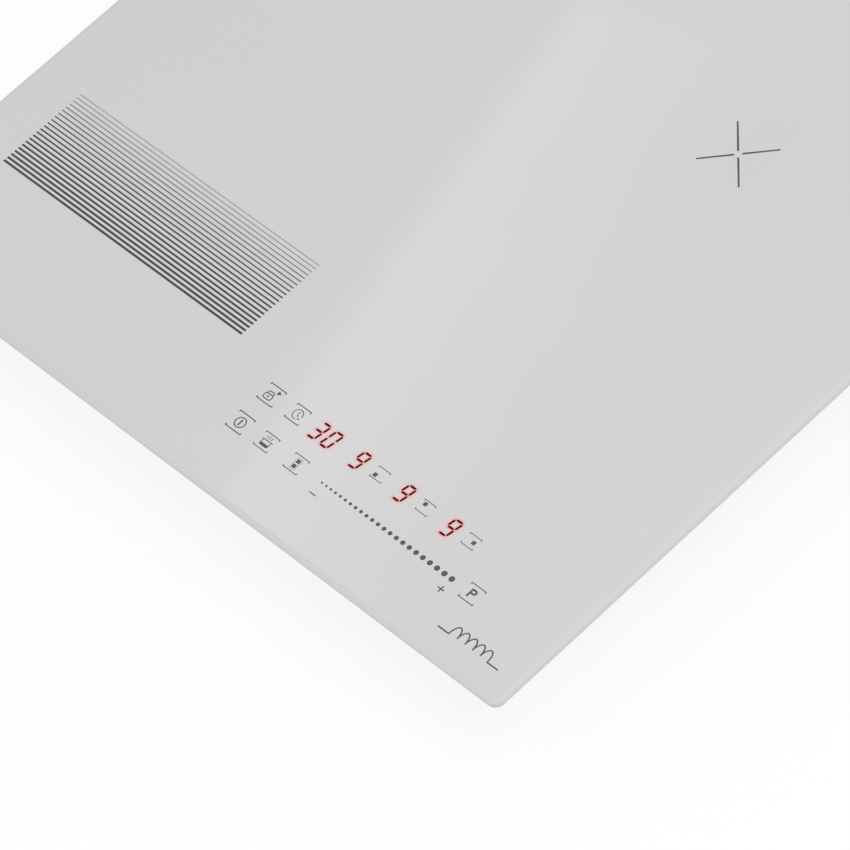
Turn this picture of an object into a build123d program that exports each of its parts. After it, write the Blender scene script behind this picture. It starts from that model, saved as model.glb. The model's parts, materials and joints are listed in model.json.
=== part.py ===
from build123d import *
import os
from math import atan2, degrees, sqrt

# Built-in induction cooktop: a glass top on a stepped sheet-metal tray, with two coils
# in a long left zone, one round coil on the right and a touch control at the front.
# Millimetres. The origin is the centre of the base, +X right, +Y back, +Z up.

# Glass top
GLASS_WIDTH = 450.0
GLASS_DEPTH = 520.0
GLASS_THICKNESS = 4.0
GLASS_CORNER = 5.0
GLASS_BEVEL_WIDTH = 2.5
GLASS_BEVEL_DROP = 0.9
OVERALL_HEIGHT = 58.0

# Foam seal under the rim and silicone bond under the glass
SEAL_INSET = 2.0
SEAL_WIDTH = 8.0
SEAL_THICKNESS = 2.5
BOND_THICKNESS = 1.0
BOND_INSET = 1.0
BOND_WIDTH = 7.0

# Carrier frame, an angle section bonded to the glass
FRAME_SHEET = 1.2
FRAME_FLANGE = 10.0
FRAME_LEG = 14.0
FRAME_CLEARANCE = 0.2

# Tray: a shallow rim all round and a deep well for the electronics
TRAY_SIDE_INSET = 22.0
TRAY_END_INSET = 17.0
TRAY_SHEET = 1.0
TRAY_CORNER = 8.0
TRAY_BEND = 2.5
TRAY_RIM_STEP = 0.2
LEDGE_HEIGHT = 20.0
LEDGE_SIDE = 42.0
LEDGE_FRONT = 64.0
LEDGE_REAR = 43.0
WELL_CORNER = 12.0
EXHAUST_SLOTS = 24
EXHAUST_PITCH = 9.0
EXHAUST_WIDTH = 4.0
EXHAUST_MARGIN = 4.0
WELL_VENTS = 16
GRILLE_SLOT = 3.4
GRILLE_PITCH = 6.4

# Screws that hold the tray to the carrier frame
RIM_SCREW_SHANK = 1.5
RIM_SCREW_HEAD = 3.0
RIM_SCREW_HEAD_HEIGHT = 1.6
RIM_SCREW_LENGTH = 5.0
RIM_SCREW_CORNER_SIDE = 53.0
RIM_SCREW_CORNER_FRONT = 68.0
SCREW_CLEARANCE = 0.3
THREAD_CLEARANCE = 0.05

# Coils: room left at the frame, between zones and at the ends of the left zone
COIL_EDGE_GAP = 1.3
COIL_SIDE_GAP = 18.0
COIL_PAIR_GAP = 14.0
RIGHT_COIL_DIAMETER = 200.0
RIGHT_ZONE_FROM_FRONT = 296.0
LEFT_ZONE_FRONT = 80.0
LEFT_ZONE_REAR = 70.0
LEFT_COIL_CORNER = 62.0
COIL_LEAST_STRAIGHT = 4.0
LEFT_EYE_RADIUS = 10.0
RIGHT_EYE_RADIUS = 24.0
LITZ_DIAMETER = 3.2
LITZ_PITCH = 3.7
INSULATION_THICKNESS = 2.0
COIL_CLEARANCE = 0.3
FORMER_THICKNESS = 2.5
FORMER_LIP = 1.5
FERRITE_COUNT = 8
FERRITE_WIDTH = 10.0
FERRITE_THICKNESS = 5.0
FERRITE_CORNER = 1.0
FERRITE_EYE = 28.0
FERRITE_EDGE = 10.0
BUSH_HEIGHT = 10.0
BUSH_RADIUS = 6.0
BUSH_EDGE = 14.0
SENSOR_RADIUS = 6.0
SENSOR_FLANGE = 9.0
SENSOR_FLANGE_THICKNESS = 2.5

# Aluminium plate that carries the coils
PLATE_SHEET = 1.2
PLATE_SIDE_GAP = 9.0
PLATE_REAR_GAP = 6.0
PLATE_CONTROL_GAP = 6.0

# Cooling blowers
FAN_RADIUS = 44.0
FAN_WALL = 1.5
FAN_GAP = 3.0
FAN_HEADROOM = 9.0
FAN_OUTLET_INSET = 4.0
FAN_OUTLET_REACH = 2.0
FAN_EAR = 4.0
FAN_EAR_OFFSET = 3.0
FAN_SCREW_SHANK = 1.4
FAN_SCREW_HEAD = 2.8
FAN_SCREW_HEAD_HEIGHT = 1.8
INLET_RADIUS = 30.0
IMPELLER_GAP = 5.0
IMPELLER_PLATE = 1.4
IMPELLER_BLADES = 30
BLADE_LENGTH = 9.0
BLADE_THICKNESS = 1.0
BLADE_LEAN = 35.0
HUB_RADIUS = 13.5
HUB_WALL = 2.0
MOTOR_GAP = 2.0
SHAFT_RADIUS = 1.5
SHAFT_CLEARANCE = 0.06
IMPELLER_AXIAL_GAP = 2.0

# Inverter and filter boards
BOARD_THICKNESS = 1.6
BOARD_CORNER = 2.0
BOARD_EDGE_GAP = 6.0
BOARD_MIDDLE_GAP = 12.0
BOARD_FAN_GAP = 8.0
BOARD_HOLE_INSET = 6.0
STANDOFF_HEIGHT = 6.0
STANDOFF_RADIUS = 3.5
BOARD_SCREW_SHANK = 1.5
BOARD_SCREW_HEAD = 2.8
BOARD_SCREW_HEAD_HEIGHT = 1.8
FILTER_WIDTH = 190.0
FILTER_DEPTH = 44.0
FILTER_GAP = 6.0
FILTER_REAR_GAP = 4.0
HEATSINK_WIDTH = 56.0
HEATSINK_FRONT_GAP = 8.0
HEATSINK_REAR_GAP = 50.0
HEATSINK_LEG = 5.4
HEATSINK_LEG_WIDTH = 4.0
HEATSINK_BASE = 4.0
HEATSINK_FINS = 9
HEATSINK_FIN_WIDTH = 1.6
HEATSINK_HEADROOM = 3.0
DEVICE_WIDTH = 16.0
DEVICE_LENGTH = 20.0
DEVICE_THICKNESS = 5.1
DEVICE_COUNT = 4
DEVICE_PITCH = 32.0
FILM_CAP_WIDTH = 26.0
FILM_CAP_LENGTH = 40.0
FILM_CAP_HEADROOM = 5.0
ROUND_CAP_RADIUS = 7.0
ROUND_CAP_HEIGHT = 18.0
CAP_EDGE_GAP = 8.0
CAP_CORNER = 1.5
CHOKE_RADIUS = 12.0
CHOKE_SECTION = 5.5
CHOKE_FROM_EDGE = 34.0
FILTER_CAP_WIDTH = 13.0
FILTER_CAP_LENGTH = 30.0
FILTER_CAP_HEIGHT = 18.0
FILTER_CAP_PITCH = 20.0
FILTER_CAP_FROM_EDGE = 55.0

# Touch control: distances from the right and the front edge of the glass
KEY_ROW_FRONT = 36.9
KEY_ROW_BACK = 57.1
POWER_COLUMN = 210.0
WARM_COLUMN = 191.8
BRIDGE_COLUMN = 171.5
BOOST_COLUMN = 52.6
SLIDER_START = 153.9
SLIDER_END = 66.0
SLIDER_PADS = 9
FIRST_ZONE_KEY = 135.0
ZONE_PITCH = 30.6
ZONE_COUNT = 3
FIRST_ZONE_DIGIT = 148.4
TIMER_DIGITS = 171.8
DIGIT_WIDTH = 8.5
TIMER_WIDTH = 16.5
DIGIT_DEPTH = 13.0
DIGIT_GAP = 0.4
PAD_RADIUS = 3.2
CONTROL_MARGIN_SIDE = 12.0
CONTROL_MARGIN_FRONT = 11.0
CONTROL_DROP = 8.4
CARRIER_WALL = 1.8
CARRIER_CORNER = 3.0
CARRIER_CLEARANCE = 0.5
CARRIER_DEPTH = 6.0
CARRIER_LIP = 0.8
CARRIER_POST = 4.0
CARRIER_BOSS = 2.5
RIBBON_WIDTH = 16.0
RIBBON_THICKNESS = 1.0
RIBBON_SINK_GAP = 8.0
RIBBON_BEND = 2.2
RIBBON_BOARD_REACH = 12.0
RIBBON_PLUG_DEPTH = 6.0
RIBBON_PLUG_HEIGHT = 3.5
RIBBON_PLUG_MARGIN = 2.0
RIBBON_PLUG_INSET = 3.0

# Mains terminal under the rear ledge
TERMINAL_FROM_RIGHT = 165.0
TERMINAL_WIDTH = 84.0
TERMINAL_WALL = 2.0
TERMINAL_FLOOR_GAP = 1.5
TERMINAL_REAR_INSET = 5.0
BLOCK_WIDTH = 54.0
BLOCK_DEPTH = 10.0
BLOCK_HEIGHT = 11.0
BLOCK_WAYS = 5
BLOCK_ENTRY = 2.0
BLOCK_ENTRY_DEPTH = 6.0
COVER_THICKNESS = 2.0
COVER_GAP = 0.4
COVER_KNUCKLE = 1.8
COVER_HINGE_DROP = 3.5
HINGE_EAR = 3.0
HINGE_EAR_RADIUS = 2.6
HINGE_EAR_ROOT = 8.0
HINGE_SIDE_GAP = 0.4
HINGE_PIN = 1.25
HINGE_CLEARANCE = 0.06
GROMMET_BORE = 5.0
GROMMET_SLEEVE = 6.5
GROMMET_FLANGE = 8.0
GROMMET_INNER_FLANGE = 7.1
GROMMET_FLANGE_THICKNESS = 2.0
GROMMET_FROM_FRONT = 18.0
WIRE_SLOT_WIDTH = 40.0
WIRE_SLOT_DEPTH = 8.0
MAINS_WIRE_RADIUS = 1.4
MAINS_WIRE_PITCH = 11.0
MAINS_WIRE_BEND = 5.0
MAINS_WIRE_RISE = 7.0

# Leads from the coils down to the inverter boards
LEAD_RADIUS = 1.6
LEAD_BEND = 6.0
LEAD_JOG = 10.0
LEAD_HOLE_CLEARANCE = 2.0
LEAD_FROM_BOARD_MIDDLE = 12.0
LEAD_SPREAD = 24.0
FRONT_LEAD_OFFSET = 45.0
REAR_LEAD_OFFSET = -45.0

# Swinging clamps under the side ledges
CLAMP_FROM_END = 93.0
CLAMP_WIDTH = 18.0
CLAMP_SHEET = 2.0
CLAMP_PIVOT_LENGTH = 14.0
CLAMP_JOGGLE_RUN = 8.0
CLAMP_JOGGLE_DROP = 6.0
CLAMP_REACH = 50.0
CLAMP_GAP = 0.5
CLAMP_CORNER = 4.0
CLAMP_SCREW_SHANK = 2.0
CLAMP_SCREW_HEAD = 4.0
CLAMP_SCREW_HEAD_HEIGHT = 2.4
CLAMP_SCREW_GAP = 0.3
CLAMP_CLEARANCE = 0.08
NUT_RADIUS = 4.5
NUT_HEIGHT = 3.2

# Levels
FLOOR_TOP = TRAY_SHEET
LEDGE_TOP = LEDGE_HEIGHT + TRAY_SHEET
GLASS_UNDER = OVERALL_HEIGHT - GLASS_THICKNESS
FRAME_TOP = GLASS_UNDER - BOND_THICKNESS
FRAME_LEG_END = FRAME_TOP - FRAME_LEG
TRAY_TOP = FRAME_TOP - TRAY_RIM_STEP
RIM_SCREW_Z = (FRAME_LEG_END + FRAME_TOP - FRAME_SHEET) / 2
INSULATION_UNDER = GLASS_UNDER - INSULATION_THICKNESS
LITZ_LEVEL = INSULATION_UNDER - COIL_CLEARANCE - LITZ_DIAMETER / 2
FORMER_TOP = LITZ_LEVEL - LITZ_DIAMETER / 2 - COIL_CLEARANCE
FORMER_UNDER = FORMER_TOP - FORMER_THICKNESS
PLATE_TOP = FORMER_UNDER - BUSH_HEIGHT
PLATE_UNDER = PLATE_TOP - PLATE_SHEET
BOARD_UNDER = FLOOR_TOP + STANDOFF_HEIGHT
BOARD_TOP = BOARD_UNDER + BOARD_THICKNESS
CONTROL_TOP = GLASS_UNDER - CONTROL_DROP
CONTROL_UNDER = CONTROL_TOP - BOARD_THICKNESS
CARRIER_UNDER = CONTROL_UNDER - CARRIER_DEPTH

# Plan positions
RIGHT_EDGE = GLASS_WIDTH / 2
FRONT_EDGE = -GLASS_DEPTH / 2
TRAY_X = GLASS_WIDTH / 2 - TRAY_SIDE_INSET
TRAY_Y = GLASS_DEPTH / 2 - TRAY_END_INSET
WELL_X = TRAY_X - LEDGE_SIDE
WELL_FRONT = LEDGE_FRONT - TRAY_Y
WELL_REAR = TRAY_Y - LEDGE_REAR
FRAME_X = TRAY_X - TRAY_SHEET - FRAME_CLEARANCE
FRAME_Y = TRAY_Y - TRAY_SHEET - FRAME_CLEARANCE
FRAME_CORNER = TRAY_CORNER - TRAY_SHEET - FRAME_CLEARANCE
COIL_LIMIT = FRAME_X - FRAME_FLANGE - COIL_EDGE_GAP
RIGHT_COIL_X = COIL_LIMIT - RIGHT_COIL_DIAMETER / 2
RIGHT_COIL_Y = FRONT_EDGE + RIGHT_ZONE_FROM_FRONT
LEFT_COIL_WIDTH = 2 * COIL_LIMIT - RIGHT_COIL_DIAMETER - COIL_SIDE_GAP
LEFT_COIL_X = LEFT_COIL_WIDTH / 2 - COIL_LIMIT
LEFT_COIL_DEPTH = (GLASS_DEPTH - LEFT_ZONE_FRONT - LEFT_ZONE_REAR - COIL_PAIR_GAP) / 2
LEFT_FRONT_Y = FRONT_EDGE + LEFT_ZONE_FRONT + LEFT_COIL_DEPTH / 2
LEFT_REAR_Y = LEFT_FRONT_Y + LEFT_COIL_DEPTH + COIL_PAIR_GAP
CONTROL_LEFT = RIGHT_EDGE - POWER_COLUMN - CONTROL_MARGIN_SIDE
CONTROL_RIGHT = RIGHT_EDGE - BOOST_COLUMN + CONTROL_MARGIN_SIDE
CONTROL_FRONT = FRONT_EDGE + KEY_ROW_FRONT - CONTROL_MARGIN_FRONT
CONTROL_REAR = FRONT_EDGE + KEY_ROW_BACK + CONTROL_MARGIN_FRONT
CONTROL_WIDTH = CONTROL_RIGHT - CONTROL_LEFT
CONTROL_DEPTH = CONTROL_REAR - CONTROL_FRONT
CONTROL_X = (CONTROL_LEFT + CONTROL_RIGHT) / 2
CONTROL_Y = (CONTROL_FRONT + CONTROL_REAR) / 2
CARRIER_SIDE = CARRIER_CLEARANCE + CARRIER_WALL
PLATE_X = TRAY_X - TRAY_SHEET - PLATE_SIDE_GAP
PLATE_FRONT = CONTROL_REAR + CARRIER_SIDE + PLATE_CONTROL_GAP
PLATE_REAR = TRAY_Y - TRAY_SHEET - PLATE_REAR_GAP
BOARD_WIDTH = WELL_X - TRAY_SHEET - BOARD_EDGE_GAP - BOARD_MIDDLE_GAP / 2
BOARD_X = (BOARD_WIDTH + BOARD_MIDDLE_GAP) / 2
FAN_HALF = FAN_RADIUS + FAN_OUTLET_REACH
FAN_Y = WELL_FRONT + TRAY_SHEET + FAN_GAP + FAN_HALF
FILTER_REAR = WELL_REAR - TRAY_SHEET - FILTER_REAR_GAP
FILTER_Y = FILTER_REAR - FILTER_DEPTH / 2
FILTER_X = WELL_X - TRAY_SHEET - BOARD_EDGE_GAP - FILTER_WIDTH / 2
BOARD_FRONT = FAN_Y + FAN_HALF + BOARD_FAN_GAP
BOARD_REAR = FILTER_REAR - FILTER_DEPTH - FILTER_GAP
BOARD_LENGTH = BOARD_REAR - BOARD_FRONT
BOARD_Y = (BOARD_FRONT + BOARD_REAR) / 2
CLAMP_X = TRAY_X - LEDGE_SIDE / 2
CLAMP_Y = TRAY_Y - CLAMP_FROM_END
CLAMP_TOP = LEDGE_HEIGHT - CLAMP_GAP
TERMINAL_X = RIGHT_EDGE - TERMINAL_FROM_RIGHT
TERMINAL_FRONT = WELL_REAR + TRAY_BEND
TERMINAL_REAR = TRAY_Y - TERMINAL_REAR_INSET
TERMINAL_LEFT = TERMINAL_X - TERMINAL_WIDTH / 2
HINGE_Y = TERMINAL_REAR + COVER_GAP + COVER_KNUCKLE
HINGE_Z = LEDGE_HEIGHT - COVER_HINGE_DROP
WIRE_SLOT_Y = TERMINAL_FRONT + TERMINAL_WALL + BLOCK_DEPTH / 2

os.makedirs("parts", exist_ok=True)


def keep(piece, name):
    """Label a finished piece and write it."""
    piece.label = name
    export_step(piece, f"parts/{name}.step")


def ring(width, depth, corner, band, bottom, height):
    """Flat rounded ring of one band width."""
    with BuildPart() as loop:
        with BuildSketch(Plane.XY.offset(bottom)):
            RectangleRounded(width, depth, corner)
            RectangleRounded(width - 2 * band, depth - 2 * band, corner, mode=Mode.SUBTRACT)
        extrude(amount=height)
    return loop.part


def tube(points, radius, bend):
    """Round wire along straight runs with tangent bends."""
    with BuildPart() as wire:
        with BuildLine() as route:
            FilletPolyline(*points, radius=bend)
        with BuildSketch(Plane(origin=route.line @ 0, z_dir=route.line % 0)):
            Circle(radius)
        sweep(path=route.line)
    return wire.part


# Glass and its joints
with BuildPart() as glass_top:
    with BuildSketch(Plane.XY.offset(GLASS_UNDER)):
        RectangleRounded(GLASS_WIDTH, GLASS_DEPTH, GLASS_CORNER)
    extrude(amount=GLASS_THICKNESS)
    top_face = glass_top.faces().sort_by(Axis.Z)[-1]
    chamfer(top_face.edges(), GLASS_BEVEL_WIDTH, GLASS_BEVEL_DROP, reference=top_face)
keep(glass_top.part, "glass_top")

rim_seal = ring(
    GLASS_WIDTH - 2 * SEAL_INSET,
    GLASS_DEPTH - 2 * SEAL_INSET,
    GLASS_CORNER,
    SEAL_WIDTH,
    GLASS_UNDER - SEAL_THICKNESS,
    SEAL_THICKNESS,
)
keep(rim_seal, "rim_seal")

bond_strip = ring(
    2 * (FRAME_X - BOND_INSET),
    2 * (FRAME_Y - BOND_INSET),
    FRAME_CORNER - BOND_INSET,
    BOND_WIDTH,
    FRAME_TOP,
    BOND_THICKNESS,
)
keep(bond_strip, "bond_strip")


def rim_screw_planes():
    """Planes on the outside of the tray wall, facing out, one for each rim screw."""
    planes = []
    side_y = TRAY_Y - RIM_SCREW_CORNER_SIDE
    front_x = TRAY_X - RIM_SCREW_CORNER_FRONT
    for side in (-1, 1):
        for y in (-side_y, 0, side_y):
            planes.append(Plane(origin=(side * TRAY_X, y, RIM_SCREW_Z), z_dir=(side, 0, 0)))
        for x in (-front_x, front_x):
            planes.append(Plane(origin=(x, side * TRAY_Y, RIM_SCREW_Z), z_dir=(0, side, 0)))
    return planes


with BuildPart() as carrier_frame:
    with BuildSketch(Plane.XY.offset(FRAME_LEG_END)):
        RectangleRounded(2 * FRAME_X, 2 * FRAME_Y, FRAME_CORNER)
        RectangleRounded(
            2 * (FRAME_X - FRAME_SHEET),
            2 * (FRAME_Y - FRAME_SHEET),
            FRAME_CORNER - FRAME_SHEET,
            mode=Mode.SUBTRACT,
        )
    extrude(amount=FRAME_LEG)
    with BuildSketch(Plane.XY.offset(FRAME_TOP - FRAME_SHEET)):
        RectangleRounded(2 * FRAME_X, 2 * FRAME_Y, FRAME_CORNER)
        RectangleRounded(
            2 * (FRAME_X - FRAME_FLANGE),
            2 * (FRAME_Y - FRAME_FLANGE),
            FRAME_CORNER,
            mode=Mode.SUBTRACT,
        )
    extrude(amount=FRAME_SHEET)
    with BuildSketch(*rim_screw_planes()):
        Circle(RIM_SCREW_SHANK + THREAD_CLEARANCE)
    extrude(amount=-RIM_SCREW_LENGTH, mode=Mode.SUBTRACT)
keep(carrier_frame.part, "carrier_frame")

with BuildPart() as rim_screws:
    with BuildSketch(*rim_screw_planes()):
        Circle(RIM_SCREW_SHANK)
    extrude(amount=-RIM_SCREW_LENGTH)
    with BuildSketch(*rim_screw_planes()):
        Circle(RIM_SCREW_HEAD)
    extrude(amount=RIM_SCREW_HEAD_HEIGHT)
    proud = RIM_SCREW_HEAD_HEIGHT / 2
    rims = rim_screws.edges().filter_by(GeomType.CIRCLE)
    side_rims = [rim for rim in rims if abs(rim.arc_center.X) > TRAY_X + proud]
    end_rims = [rim for rim in rims if abs(rim.arc_center.Y) > TRAY_Y + proud]
    fillet(side_rims + end_rims, RIM_SCREW_HEAD_HEIGHT / 2)
keep(rim_screws.part, "rim_screws")


def tub(inset, top, convex, concave):
    """Stepped tub: the rim, the ledge and the deep well, set in by the sheet for the hollow."""
    with BuildPart() as shape:
        with BuildSketch(Plane.XY.offset(LEDGE_HEIGHT + inset)):
            RectangleRounded(2 * (TRAY_X - inset), 2 * (TRAY_Y - inset), TRAY_CORNER - inset)
        extrude(amount=top - LEDGE_HEIGHT - inset)
        fillet(shape.faces().sort_by(Axis.Z)[0].edges(), convex)
        well_middle = (WELL_FRONT + WELL_REAR) / 2
        with BuildSketch(Plane((0, well_middle, inset))):
            RectangleRounded(
                2 * (WELL_X - inset),
                WELL_REAR - WELL_FRONT - 2 * inset,
                WELL_CORNER - inset,
            )
        extrude(amount=LEDGE_HEIGHT)
        fillet(shape.faces().sort_by(Axis.Z)[0].edges(), convex)
        level = shape.faces().filter_by_position(
            Axis.Z, LEDGE_HEIGHT + inset - 0.01, LEDGE_HEIGHT + inset + 0.01
        )
        fillet(level.sort_by(SortBy.AREA)[-1].inner_wires()[0].edges(), concave)
    return shape.part


def fan_ears(side):
    """Screw places of one blower, at three of its corners."""
    reach = (FAN_RADIUS + FAN_EAR_OFFSET) / sqrt(2)
    corners = ((-reach, -reach), (-reach, reach), (reach, -reach))
    return [(side * BOARD_X + x, FAN_Y + y) for x, y in corners]


TRAY_INNER_BEND = TRAY_BEND - TRAY_SHEET
tray_hollow = tub(TRAY_SHEET, OVERALL_HEIGHT, TRAY_INNER_BEND, TRAY_BEND)
GRILLE_ROWS = int((INLET_RADIUS - GRILLE_SLOT) / GRILLE_PITCH)
EXHAUST_BOTTOM = LEDGE_TOP + TRAY_BEND + EXHAUST_MARGIN / 2
EXHAUST_TOP = FRAME_LEG_END - EXHAUST_MARGIN / 2
EXHAUST_Z = (EXHAUST_BOTTOM + EXHAUST_TOP) / 2
CLAMP_PLACES = [(x * CLAMP_X, y * CLAMP_Y) for x in (-1, 1) for y in (-1, 1)]

with BuildPart() as base_tray:
    add(tub(0, TRAY_TOP, TRAY_BEND, TRAY_INNER_BEND))
    add(tray_hollow, mode=Mode.SUBTRACT)
    # intake grilles under the blowers
    with BuildSketch():
        for side in (-1, 1):
            for row in range(-GRILLE_ROWS, GRILLE_ROWS + 1):
                half = sqrt(INLET_RADIUS**2 - (row * GRILLE_PITCH) ** 2)
                with Locations((side * BOARD_X, FAN_Y + row * GRILLE_PITCH)):
                    SlotOverall(2 * half, GRILLE_SLOT)
            with Locations(*fan_ears(side)):
                Circle(FAN_SCREW_SHANK + THREAD_CLEARANCE)
    extrude(amount=TRAY_SHEET, mode=Mode.SUBTRACT)
    # exhaust slots in the rear wall of the rim
    with BuildSketch(Plane.XZ.offset(-TRAY_Y)):
        with Locations((0, EXHAUST_Z)):
            with GridLocations(EXHAUST_PITCH, 1, EXHAUST_SLOTS, 1):
                SlotOverall(EXHAUST_TOP - EXHAUST_BOTTOM, EXHAUST_WIDTH, rotation=90)
    extrude(amount=TRAY_SHEET, mode=Mode.SUBTRACT)
    # vents in the left and right walls of the well
    for side in (-1, 1):
        well_wall = Plane(
            origin=(side * WELL_X, BOARD_Y, LEDGE_HEIGHT / 2), x_dir=(0, 1, 0), z_dir=(side, 0, 0)
        )
        with BuildSketch(well_wall):
            with GridLocations(EXHAUST_PITCH, 1, WELL_VENTS, 1):
                SlotOverall(LEDGE_HEIGHT - 3 * TRAY_BEND, EXHAUST_WIDTH, rotation=90)
        extrude(amount=-TRAY_SHEET, mode=Mode.SUBTRACT)
    with BuildSketch(*rim_screw_planes()):
        Circle(RIM_SCREW_SHANK + SCREW_CLEARANCE)
    extrude(amount=-TRAY_SHEET, mode=Mode.SUBTRACT)
    # clamp screw holes and the wire slot above the terminal
    with BuildSketch(Plane.XY.offset(LEDGE_HEIGHT)):
        with Locations(*CLAMP_PLACES):
            Circle(CLAMP_SCREW_SHANK + SCREW_CLEARANCE)
        with Locations((TERMINAL_X, WIRE_SLOT_Y)):
            Rectangle(WIRE_SLOT_WIDTH, WIRE_SLOT_DEPTH)
    extrude(amount=TRAY_SHEET, mode=Mode.SUBTRACT)
keep(base_tray.part, "base_tray")

# Coils
LEFT_CORNER_ROOM = (min(LEFT_COIL_WIDTH, LEFT_COIL_DEPTH) - COIL_LEAST_STRAIGHT) / 2
LEFT_CORNER = min(LEFT_COIL_CORNER, LEFT_CORNER_ROOM)
LEFT_STRAIGHT_X = LEFT_COIL_WIDTH - 2 * LEFT_CORNER
LEFT_STRAIGHT_Y = LEFT_COIL_DEPTH - 2 * LEFT_CORNER
LEFT_SHAPE = (LEFT_STRAIGHT_X, LEFT_STRAIGHT_Y, LEFT_CORNER, LEFT_EYE_RADIUS)
RIGHT_SHAPE = (0.0, 0.0, RIGHT_COIL_DIAMETER / 2, RIGHT_EYE_RADIUS)
COILS = {
    "front_left": (LEFT_COIL_X, LEFT_FRONT_Y, *LEFT_SHAPE),
    "rear_left": (LEFT_COIL_X, LEFT_REAR_Y, *LEFT_SHAPE),
    "right": (RIGHT_COIL_X, RIGHT_COIL_Y, *RIGHT_SHAPE),
}
FERRITE_STEP = 360 / FERRITE_COUNT

# Middle of each coil's pair of leads, in the free lane of its board
COIL_LEADS = {
    "front_left": (-BOARD_X - LEAD_FROM_BOARD_MIDDLE, LEFT_FRONT_Y + FRONT_LEAD_OFFSET),
    "rear_left": (-BOARD_X - LEAD_FROM_BOARD_MIDDLE, LEFT_REAR_Y + REAR_LEAD_OFFSET),
    "right": (BOARD_X - LEAD_FROM_BOARD_MIDDLE, RIGHT_COIL_Y),
}


def lead_gap(name):
    """Direction from the middle of a coil to its first lead, which passes between two ferrite bars."""
    lead_x, lead_y = COIL_LEADS[name]
    coil_x, coil_y = COILS[name][:2]
    return degrees(atan2(lead_y - LEAD_SPREAD / 2 - coil_y, lead_x - coil_x))


def coil_outline(straight_x, straight_y, radius, mode=Mode.ADD):
    """Outline of a coil: a circle, or a rectangle with large corners."""
    if straight_x > 0:
        RectangleRounded(straight_x + 2 * radius, straight_y + 2 * radius, radius, mode=mode)
    else:
        Circle(radius, mode=mode)


def winding(x, y, straight_x, straight_y, radius, eye):
    """Flat spiral of litz wire in quarter-turn arcs with straight runs between them."""
    room = radius - FORMER_LIP - 2 * COIL_CLEARANCE - LITZ_DIAMETER / 2 - eye
    turns = int(room / LITZ_PITCH)
    step = LITZ_PITCH / 4
    half_x = straight_x / 2
    half_y = straight_y / 2
    middle = Vector(x, y, LITZ_LEVEL)
    middles = (
        middle + Vector(half_x, half_y),
        middle + Vector(-half_x, half_y - step),
        middle + Vector(step - half_x, -half_y - step),
        middle + Vector(half_x + step, -half_y),
    )
    heads = (Vector(1, 0), Vector(0, 1), Vector(-1, 0), Vector(0, -1))
    with BuildPart() as coil:
        with BuildLine() as route:
            for n in range(4 * turns):
                arc_radius = eye + n * step
                CenterArc(middles[n % 4], arc_radius, 90 * (n % 4), 90)
                after = heads[(n + 1) % 4]
                arc_end = middles[n % 4] + after * arc_radius
                next_start = middles[(n + 1) % 4] + after * (arc_radius + step)
                if n + 1 < 4 * turns and (next_start - arc_end).length > step / 10:
                    Line(arc_end, next_start)
        with BuildSketch(Plane(origin=route.line @ 0, z_dir=route.line % 0)):
            Circle(LITZ_DIAMETER / 2)
        sweep(path=route.line)
    print("litz gap between turns", round(LITZ_PITCH - LITZ_DIAMETER, 2), "turns", turns)
    return coil.part


for name, coil in COILS.items():
    x, y, straight_x, straight_y, radius, eye = coil
    with BuildPart() as coil_former:
        with BuildSketch(Plane((x, y, FORMER_UNDER))):
            coil_outline(straight_x, straight_y, radius)
            Circle(SENSOR_RADIUS + COIL_CLEARANCE, mode=Mode.SUBTRACT)
        extrude(amount=FORMER_THICKNESS)
        with BuildSketch(Plane((x, y, FORMER_TOP))):
            coil_outline(straight_x, straight_y, radius)
            coil_outline(straight_x, straight_y, radius - FORMER_LIP, Mode.SUBTRACT)
        extrude(amount=LITZ_DIAMETER)
    keep(coil_former.part, f"{name}_coil_former")

    keep(winding(*coil), f"{name}_coil_winding")

    gap = lead_gap(name)
    half = min(straight_x, straight_y) / 2 + radius
    bar_length = half - FERRITE_EYE - FERRITE_EDGE
    with BuildPart() as ferrites:
        with BuildSketch(Plane((x, y, FORMER_UNDER))):
            bar_middle = FERRITE_EYE + bar_length / 2
            with PolarLocations(bar_middle, FERRITE_COUNT, start_angle=gap + FERRITE_STEP / 2):
                RectangleRounded(bar_length, FERRITE_WIDTH, FERRITE_CORNER)
        extrude(amount=-FERRITE_THICKNESS)
    keep(ferrites.part, f"{name}_coil_ferrites")

    with BuildPart() as insulation:
        with BuildSketch(Plane((x, y, INSULATION_UNDER))):
            coil_outline(straight_x, straight_y, radius)
            Circle(SENSOR_RADIUS + COIL_CLEARANCE, mode=Mode.SUBTRACT)
        extrude(amount=INSULATION_THICKNESS)
    keep(insulation.part, f"{name}_coil_insulation")

    with BuildPart() as sensor:
        with BuildSketch(Plane((x, y, FORMER_UNDER))):
            Circle(SENSOR_FLANGE)
        extrude(amount=-SENSOR_FLANGE_THICKNESS)
        with BuildSketch(Plane((x, y, FORMER_UNDER))):
            Circle(SENSOR_RADIUS)
        extrude(amount=GLASS_UNDER - FORMER_UNDER)
    keep(sensor.part, f"{name}_coil_sensor")

with BuildPart() as coil_bushes:
    for name, (x, y, straight_x, straight_y, radius, eye) in COILS.items():
        gap = lead_gap(name)
        reach = min(straight_x, straight_y) / 2 + radius - BUSH_EDGE
        with BuildSketch(Plane((x, y, PLATE_TOP))):
            with PolarLocations(reach, 4, start_angle=gap + FERRITE_STEP):
                Circle(BUSH_RADIUS)
        extrude(amount=BUSH_HEIGHT, taper=8)
keep(coil_bushes.part, "coil_bushes")

# Leads of the coils, from the former down to the board
LEAD_PLACES = [(x, y + end * LEAD_SPREAD / 2) for x, y in COIL_LEADS.values() for end in (-1, 1)]
LEAD_MIDDLE = (BOARD_TOP + PLATE_UNDER) / 2

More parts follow.
